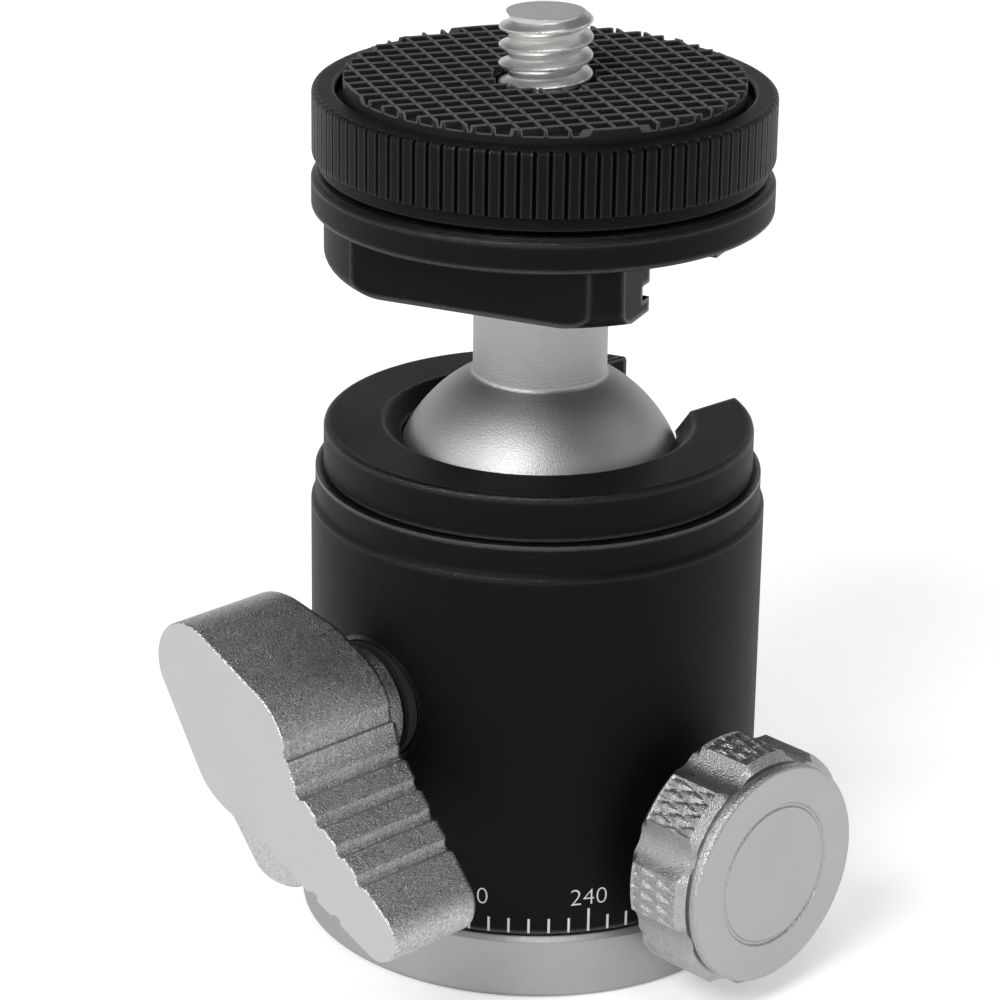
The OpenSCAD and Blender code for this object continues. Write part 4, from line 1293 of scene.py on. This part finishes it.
@dataclass
class MainKnob:
    """The bead blasted wing knob of the main lock and its screw."""

    shop: Workshop
    axis_height: float = 20.0
    hub_radius: float = 5.1
    short_end: Vector = field(default_factory=lambda: polar(39.5, 6.6))
    short_radius: float = 3.2
    long_angle: float = 211.8
    long_reach: float = 16.1
    long_radius: float = 1.85
    root: Vector = field(default_factory=lambda: polar(226.0, 3.62))
    root_radius: float = 3.4
    heel_end: Vector = field(default_factory=lambda: polar(262.0, 9.2))
    heel_radius: float = 1.75
    heel_start_angle: float = 277.0
    heel_lean: float = 30.0
    heel_lean_turn: float = 225.0
    fillet: float = 1.3
    boss_radius: float = 4.1
    boss_height: float = 1.42
    rib_count: int = 5
    rib_start: float = 2.9
    rib_end: float = 14.9
    rib_depth: float = 0.36
    rib_share: float = 0.40
    spacing: float = 0.16
    face_ease: float = 0.16
    back_ease: float = 0.6
    short_lean: float = 15.0
    long_lean: float = 10.0
    lean_share: float = 0.85

    def _edge_distance(self, point: Vector, lobes: Sequence[Lobe]) -> float:
        """Gives the distance to the lobes' outline, with soft inside corners."""
        total = 1e9
        for lobe in lobes:
            other = lobe.distance(point)
            near = max(self.fillet - abs(total - other), 0.0) / self.fillet
            total = min(total, other) - near * near * self.fillet / 4
        return total

    def _outline(self, lobes: Sequence[Lobe], centre: Vector) -> list[Vector]:
        """Traces the outline of lobes about a centre inside them.

        Args:
            lobes: the lobes.
            centre: a point from which the whole outline is seen.

        Returns:
            Points of the outline, evenly spaced.
        """
        rough = []
        for i in range(1440):
            way = polar(i / 4, 1.0)
            inside, outside = 0.0, 2 * self.long_reach
            for _ in range(26):
                middle = (inside + outside) / 2
                if self._edge_distance(centre + way * middle, lobes) < 0:
                    inside = middle
                else:
                    outside = middle
            rough.append(centre + way * inside)
        even, left = [rough[0]], self.spacing
        for a, b in zip(rough, rough[1:] + rough[:1]):
            run = (b - a).length
            gone = left
            while gone <= run:
                even.append(a.lerp(b, gone / run))
                gone += self.spacing
            left = gone - run
        if (even[-1] - even[0]).length < self.spacing / 2:
            even.pop()
        return even

    def _ribbed(self, outline: list[Vector]) -> list[Vector]:
        """Draws the outline in at the grooves of the long wing's flanks.

        Args:
            outline: the plain outline.

        Returns:
            The outline with its grooves.
        """
        along = polar(self.long_angle, 1.0)
        across = Vector((-along.y, along.x))
        pitch = (self.rib_end - self.rib_start) / self.rib_count
        result = []
        for point in outline:
            place = point.dot(along) - self.rib_start
            side = point.dot(across)
            if 0 < place < self.rib_end - self.rib_start and abs(side) > 0.6:
                phase = (place / pitch) % 1.0
                away = abs(phase - self.rib_share / 2) / (self.rib_share / 2)
                depth = self.rib_depth * (1 - blend_step(0.45, 1.0, away))
                point = point - across * math.copysign(depth, side)
            result.append(point)
        return result

    def _lean_plane(self, place: Vector, height: float, turn: float, lean: float) -> tuple[Vector, Vector]:
        """Gives a plane that leans away from a line across the knob.

        Args:
            place: a point of the line.
            height: height of the line.
            turn: direction in which the plane leans away, in degrees.
            lean: slope of the plane, in degrees.

        Returns:
            A point of the plane and its normal.
        """
        way = polar(turn, math.sin(math.radians(abs(lean))))
        normal = Vector((way.x, way.y, math.copysign(math.cos(math.radians(lean)), lean)))
        return Vector((place.x, place.y, height)), normal

    def build(self) -> None:
        """Builds the knob and dresses its screw and washer."""
        extent = Extent.of("main_knob")
        back = Extent.of("housing").radius + 1.95
        thick = -extent.low.x - back
        hub = Vector((0, 0))
        lobes = [Lobe(hub, self.hub_radius, self.short_end, self.short_radius),
                 Lobe(self.root, self.root_radius, polar(self.long_angle, self.long_reach), self.long_radius)]
        body = prism(self._ribbed(self._outline(lobes, hub)), -thick, 0)
        for place, angle, lean in ((polar(39.5, self.hub_radius * self.lean_share), 39.5, self.short_lean),
                                   (polar(self.long_angle, self.hub_radius * self.lean_share), self.long_angle,
                                    self.long_lean)):
            point, normal = self._lean_plane(place, 0, angle, lean)
            cut_plane(body, point, normal)
        heel_lobes = [Lobe(self.root, self.root_radius, self.heel_end, self.heel_radius)]
        heel = prism(self._outline(heel_lobes, self.root), -thick + 0.02, -0.02)
        start = polar(self.heel_start_angle, self.hub_radius)
        point, normal = self._lean_plane(start, -thick, self.heel_lean_turn + 180, -self.heel_lean)
        cut_plane(heel, point, Vector((-normal.x, -normal.y, normal.z)))
        for part, front in ((body, self.face_ease), (heel, 0.25)):
            face = sharp_edges(part, lambda p: p.z < -thick + 0.01 or (front > 0.2 and p.z < -1.5), 50)
            face = [e for e in face if not self._upright(e)]
            rear = [e for e in sharp_edges(part, lambda p: p.z > -thick * 0.62, 50) if not self._upright(e)]
            rear = [e for e in rear if e not in set(face)]
            bevel_edges(part, rear, self.back_ease, 4)
            face = [e for e in face if e.is_valid]
            bevel_edges(part, face, front, 3)
        boss = turned([Corner(0, -0.5), Corner(self.boss_radius, -0.5), Corner(self.boss_radius, self.boss_height, 0.12),
                       Corner(0, self.boss_height)], 96)
        self._pool(body, (heel, boss))
        body.transform(Matrix.Translation((-back, 0, self.axis_height)) @ Lay.MAIN.value.to_4x4())
        finish = self.shop.finish(BLASTED, Lay.MAIN, self.axis_height)
        as_piece(body, "wing_knob", "main_knob", finish, ["main_knob"], math.radians(38))
        self.shop.dress("main_clamp_screw", STEEL, Lay.MAIN, self.axis_height)
        self.shop.dress("main_knob_washer", NYLON, Lay.MAIN, self.axis_height)

    @staticmethod
    def _upright(edge: bmesh.types.BMEdge) -> bool:
        """Tells whether an edge runs along the knob's axis."""
        run = edge.verts[1].co - edge.verts[0].co
        return abs(run.z) > 0.9 * run.length

    @staticmethod
    def _pool(body: bmesh.types.BMesh, parts: Iterable[bmesh.types.BMesh]) -> None:
        """Adds other closed shells to a mesh.

        Args:
            body: mesh that takes them.
            parts: the shells; they are used up.
        """
        for part in parts:
            mesh = bpy.data.meshes.new("pooled")
            part.to_mesh(mesh)
            part.free()
            body.from_mesh(mesh)
            bpy.data.meshes.remove(mesh)


@dataclass
class PanKnob:
    """The round pan lock knob with knurled lands and smooth flutes."""

    shop: Workshop
    axis_height: float = 10.1
    flutes: int = 8
    face_radius: float = 7.8
    face_step: float = 0.8
    land_radius: float = 8.5
    land_chamfer: float = 0.55
    land_half_angle: float = 12.2
    flute_radius: float = 1.9
    flute_floor: float = 7.7
    neck_radius: float = 7.55
    knurl_depth: float = 0.16
    knurl_pitch: float = 6.2
    knurl_lean: float = 17.6
    ring_radius: float = 5.0
    ring_width: float = 0.20
    ring_depth: float = 0.16
    boss_radius: float = 3.3
    land_columns: int = 26
    flute_columns: int = 14
    land_rows: int = 34

    def _knurl(self, angle: float, height: float) -> float:
        """Gives the depth of the diamond knurl at a place on a land.

        Args:
            angle: angle about the knob's axis, in degrees.
            height: height along it.

        Returns:
            The depth of the grooves there.
        """
        slant = math.degrees(math.tan(math.radians(self.knurl_lean)) * height / self.land_radius)
        depth = 0.0
        for way in (1, -1):
            phase = ((angle + way * slant) / self.knurl_pitch) % 1.0
            depth = max(depth, 1 - abs(phase - 0.5) * 2)
        return self.knurl_depth * blend_step(0.35, 0.98, depth)

    def build(self) -> None:
        """Builds the knob and dresses its screw and washer."""
        extent = Extent.of("pan_knob")
        back, face = Extent.of("housing").radius + 1.75, -extent.low.y
        boss_start = -extent.high.y
        self._blank(back, face)
        finish = self.shop.finish(TURNED, Lay.PAN, self.axis_height)
        boss = turned([Corner(0, boss_start), Corner(self.boss_radius, boss_start, 0.1),
                       Corner(self.boss_radius, back + 0.4), Corner(0, back + 0.4)], 80)
        self._stand(boss)
        as_piece(boss, "pan_knob_boss", "pan_knob", finish, ["pan_knob"])
        self.shop.dress("pan_clamp_screw", STEEL, Lay.PAN, self.axis_height)
        self.shop.dress("pan_knob_washer", NYLON, Lay.PAN, self.axis_height)

    def _stand(self, bm: bmesh.types.BMesh) -> None:
        """Moves a mesh drawn about Z onto the pan knob's axis."""
        bm.transform(Matrix.Translation((0, 0, self.axis_height)) @ Lay.PAN.value.to_4x4())

    def _blank(self, back: float, face: float) -> None:
        """Builds the knob's body: lands, flutes and face.

        Args:
            back: distance of its back from the pan axis.
            face: distance of its face from the pan axis.
        """
        land_top = face - self.face_step - 0.08
        c = self.land_chamfer
        rows = [back + c + (land_top - back - 2 * c) * i / self.land_rows for i in range(self.land_rows + 1)]
        front = [(self.face_radius - 0.32 + polar(a, 0.32).x, face - 0.32 + polar(a, 0.32).y)
                 for a in (0, 22.5, 45, 67.5, 90)]
        levels = [(0.0, back), (self.land_radius - c, back)]
        first = len(levels)
        levels += [(self.land_radius, z) for z in rows]
        last = len(levels)
        levels += [(self.land_radius - c, land_top), (self.neck_radius, land_top + 0.001),
                   (self.neck_radius, land_top + 0.16), (self.face_radius, land_top + 0.24), *front]
        ring = self.ring_radius
        half = self.ring_width
        levels += [(ring + 1.9, face + 0.0), (ring + half, face - 0.03), (ring + half / 3, face - self.ring_depth),
                   (ring - half / 3, face - self.ring_depth - 0.001), (ring - half, face - 0.055),
                   (ring - 0.6, face - 0.05), (0.0, face - 0.051)]
        sector = 360 / self.flutes
        edge = sector - 2 * self.land_half_angle
        angles = [self.land_half_angle * (2 * i / self.land_columns - 1) for i in range(self.land_columns + 1)]
        angles += [self.land_half_angle + edge * (i + 1) / self.flute_columns for i in range(self.flute_columns)]
        centre = self.flute_floor + self.flute_radius

        def radius_at(angle: float, level: int) -> float:
            """Gives a level's radius, with the knurl on lands and the flute's hollow between them."""
            radius, height = levels[level]
            if level < first - 1 or level > last:
                return radius
            if abs(angle) <= self.land_half_angle + 1e-6:
                if first < level < last - 1:
                    fade = blend_step(0.0, 1.6, self.land_half_angle - abs(angle))
                    return radius - self._knurl(angle, height - back) * fade
                return radius
            off = math.radians(angle - sector / 2)
            inside = self.flute_radius ** 2 - (centre * math.sin(off)) ** 2
            hollow = centre * math.cos(off) - math.sqrt(inside) if inside > 0 else radius
            return min(radius, hollow)

        bm = sectored(levels, angles, self.flutes, radius_at)
        self._stand(bm)
        finish = self.shop.finish(TURNED, Lay.PAN, self.axis_height)
        as_piece(bm, "pan_knob_body", "pan_knob", finish, ["pan_knob"], math.radians(26))


@dataclass
class Studio:
    """Camera, lamps, floor and background."""

    eye: Vector = field(default_factory=lambda: Vector((-0.16768, -0.16881, 0.12533)))
    heading: float = 45.824
    pitch: float = -21.74
    roll: float = 0.85
    lens: float = 131.4
    sensor: float = 36.0
    middle: Vector = field(default_factory=lambda: Vector((0, 0, 0.032)))
    floor_glow: float = 0.36
    floor_in_metal: float = 0.26
    room: float = 0.44
    room_in_metal: float = 0.12
    horizon: tuple[float, float] = (0.04, 0.42)

    def build(self) -> None:
        """Sets the studio up."""
        self._camera()
        self._floor()
        self._world()
        for name, azimuth, height, reach, size, power in (
                ("key_softbox", 196.0, 42.0, 1.1, (0.42, 0.36), 6.2),
                ("left_softbox", 150.0, 27.0, 1.2, (0.26, 0.34), 1.9),
                ("front_softbox", 240.0, 66.0, 1.1, (0.46, 0.20), 1.6),
                ("back_softbox", 62.0, 55.0, 1.2, (0.45, 0.45), 0.50),
                ("right_softbox", 325.0, 39.0, 1.2, (0.14, 0.14), 0.50)):
            self._softbox(name, azimuth, height, reach, size, power)
        bpy.context.scene.view_settings.view_transform = "Standard"

    def _camera(self) -> None:
        """Places the camera as the photograph was taken."""
        camera = bpy.data.cameras.new("photo_camera")
        camera.lens, camera.sensor_width, camera.clip_start = self.lens, self.sensor, 0.01
        holder = bpy.data.objects.new("photo_camera", camera)
        turn = (Matrix.Rotation(math.radians(self.heading - 90), 4, "Z")
                @ Matrix.Rotation(math.radians(90 + self.pitch), 4, "X")
                @ Matrix.Rotation(math.radians(self.roll), 4, "Z"))
        holder.matrix_world = Matrix.Translation(self.eye) @ turn
        bpy.context.scene.collection.objects.link(holder)
        bpy.context.scene.camera = holder

    def _softbox(self, name: str, azimuth: float, height: float, reach: float, size: tuple[float, float],
                 power: float) -> None:
        """Adds a soft lamp that faces the object.

        Args:
            name: name of the lamp.
            azimuth: direction in which it stands, in degrees from +X.
            height: its height as an angle above the object, in degrees.
            reach: its distance, in metres.
            size: its width and height, in metres.
            power: its power in watts.
        """
        lamp = bpy.data.lights.new(name, "AREA")
        lamp.shape, lamp.size, lamp.size_y, lamp.energy = "RECTANGLE", size[0], size[1], power
        holder = bpy.data.objects.new(name, lamp)
        flat = polar(azimuth, reach * math.cos(math.radians(height)))
        place = self.middle + Vector((flat.x, flat.y, reach * math.sin(math.radians(height))))
        turn = (self.middle - place).to_track_quat("-Z", "Y").to_matrix().to_4x4()
        holder.matrix_world = Matrix.Translation(place) @ turn
        bpy.context.scene.collection.objects.link(holder)

    def _seen(self, graph: Graph) -> bpy.types.NodeSocket:
        """Gives 1 for rays that see the floor directly or through glass, and a share in metal."""
        path = graph.node("ShaderNodeLightPath")
        in_metal = graph.math("MULTIPLY", path.outputs["Is Glossy Ray"], self.floor_in_metal)
        direct = graph.math("MAXIMUM", path.outputs["Is Camera Ray"], in_metal)
        return graph.math("MAXIMUM", direct, path.outputs["Is Transmission Ray"])

    def _floor(self) -> None:
        """Lays the pale floor, which keeps the object's shadow."""
        bm = bmesh.new()
        bmesh.ops.create_grid(bm, x_segments=1, y_segments=1, size=3.0)
        mesh = bpy.data.meshes.new("studio_floor")
        bm.to_mesh(mesh)
        bm.free()
        floor = bpy.data.objects.new("studio_floor", mesh)
        bpy.context.scene.collection.objects.link(floor)
        material = bpy.data.materials.new("pale_floor")
        material.use_nodes = True
        graph = Graph(material.node_tree)
        shader = material.node_tree.nodes["Principled BSDF"]
        shader.inputs["Base Color"].default_value = (0.86, 0.86, 0.86, 1)
        shader.inputs["Roughness"].default_value = 0.9
        shader.inputs["Emission Color"].default_value = (1, 1, 1, 1)
        graph.link(graph.math("MULTIPLY", self._seen(graph), self.floor_glow), shader.inputs["Emission Strength"])
        material.cycles.emission_sampling = "NONE"
        mesh.materials.append(material)

    def _world(self) -> None:
        """Sets the soft surrounding light: white where the background is seen, dim higher up in metal."""
        world = bpy.data.worlds.new("studio")
        bpy.context.scene.world = world
        world.use_nodes = True
        world.cycles.sampling_method = "NONE"
        graph = Graph(world.node_tree)
        path = graph.node("ShaderNodeLightPath")
        split = graph.node("ShaderNodeSeparateXYZ")
        graph.link(graph.node("ShaderNodeTexCoord").outputs["Generated"], split.inputs[0])
        in_metal = graph.spread(split.outputs[2], *self.horizon, 1.0, self.room_in_metal)
        glossy = graph.math("MULTIPLY", in_metal, path.outputs["Is Glossy Ray"])
        seen = graph.math("MAXIMUM", path.outputs["Is Camera Ray"], path.outputs["Is Transmission Ray"])
        around = graph.math("MULTIPLY", path.outputs["Is Diffuse Ray"], self.room)
        strength = graph.math("MAXIMUM", graph.math("MAXIMUM", seen, glossy), around)
        background = world.node_tree.nodes["Background"]
        background.inputs["Color"].default_value = (1, 1, 1, 1)
        graph.link(strength, background.inputs["Strength"])


def main() -> None:
    """Builds the studio, then the head from the foot upwards."""
    logging.basicConfig(level=logging.INFO, format="%(message)s")
    shop = Workshop()
    Studio().build()
    for part in (Foot(shop), Housing(shop), Ball(shop), Platform(shop), LockDisc(shop), MainKnob(shop),
                 PanKnob(shop)):
        part.build()
        LOG.info("built %s", type(part).__name__)


if __name__ == "__main__":
    main()
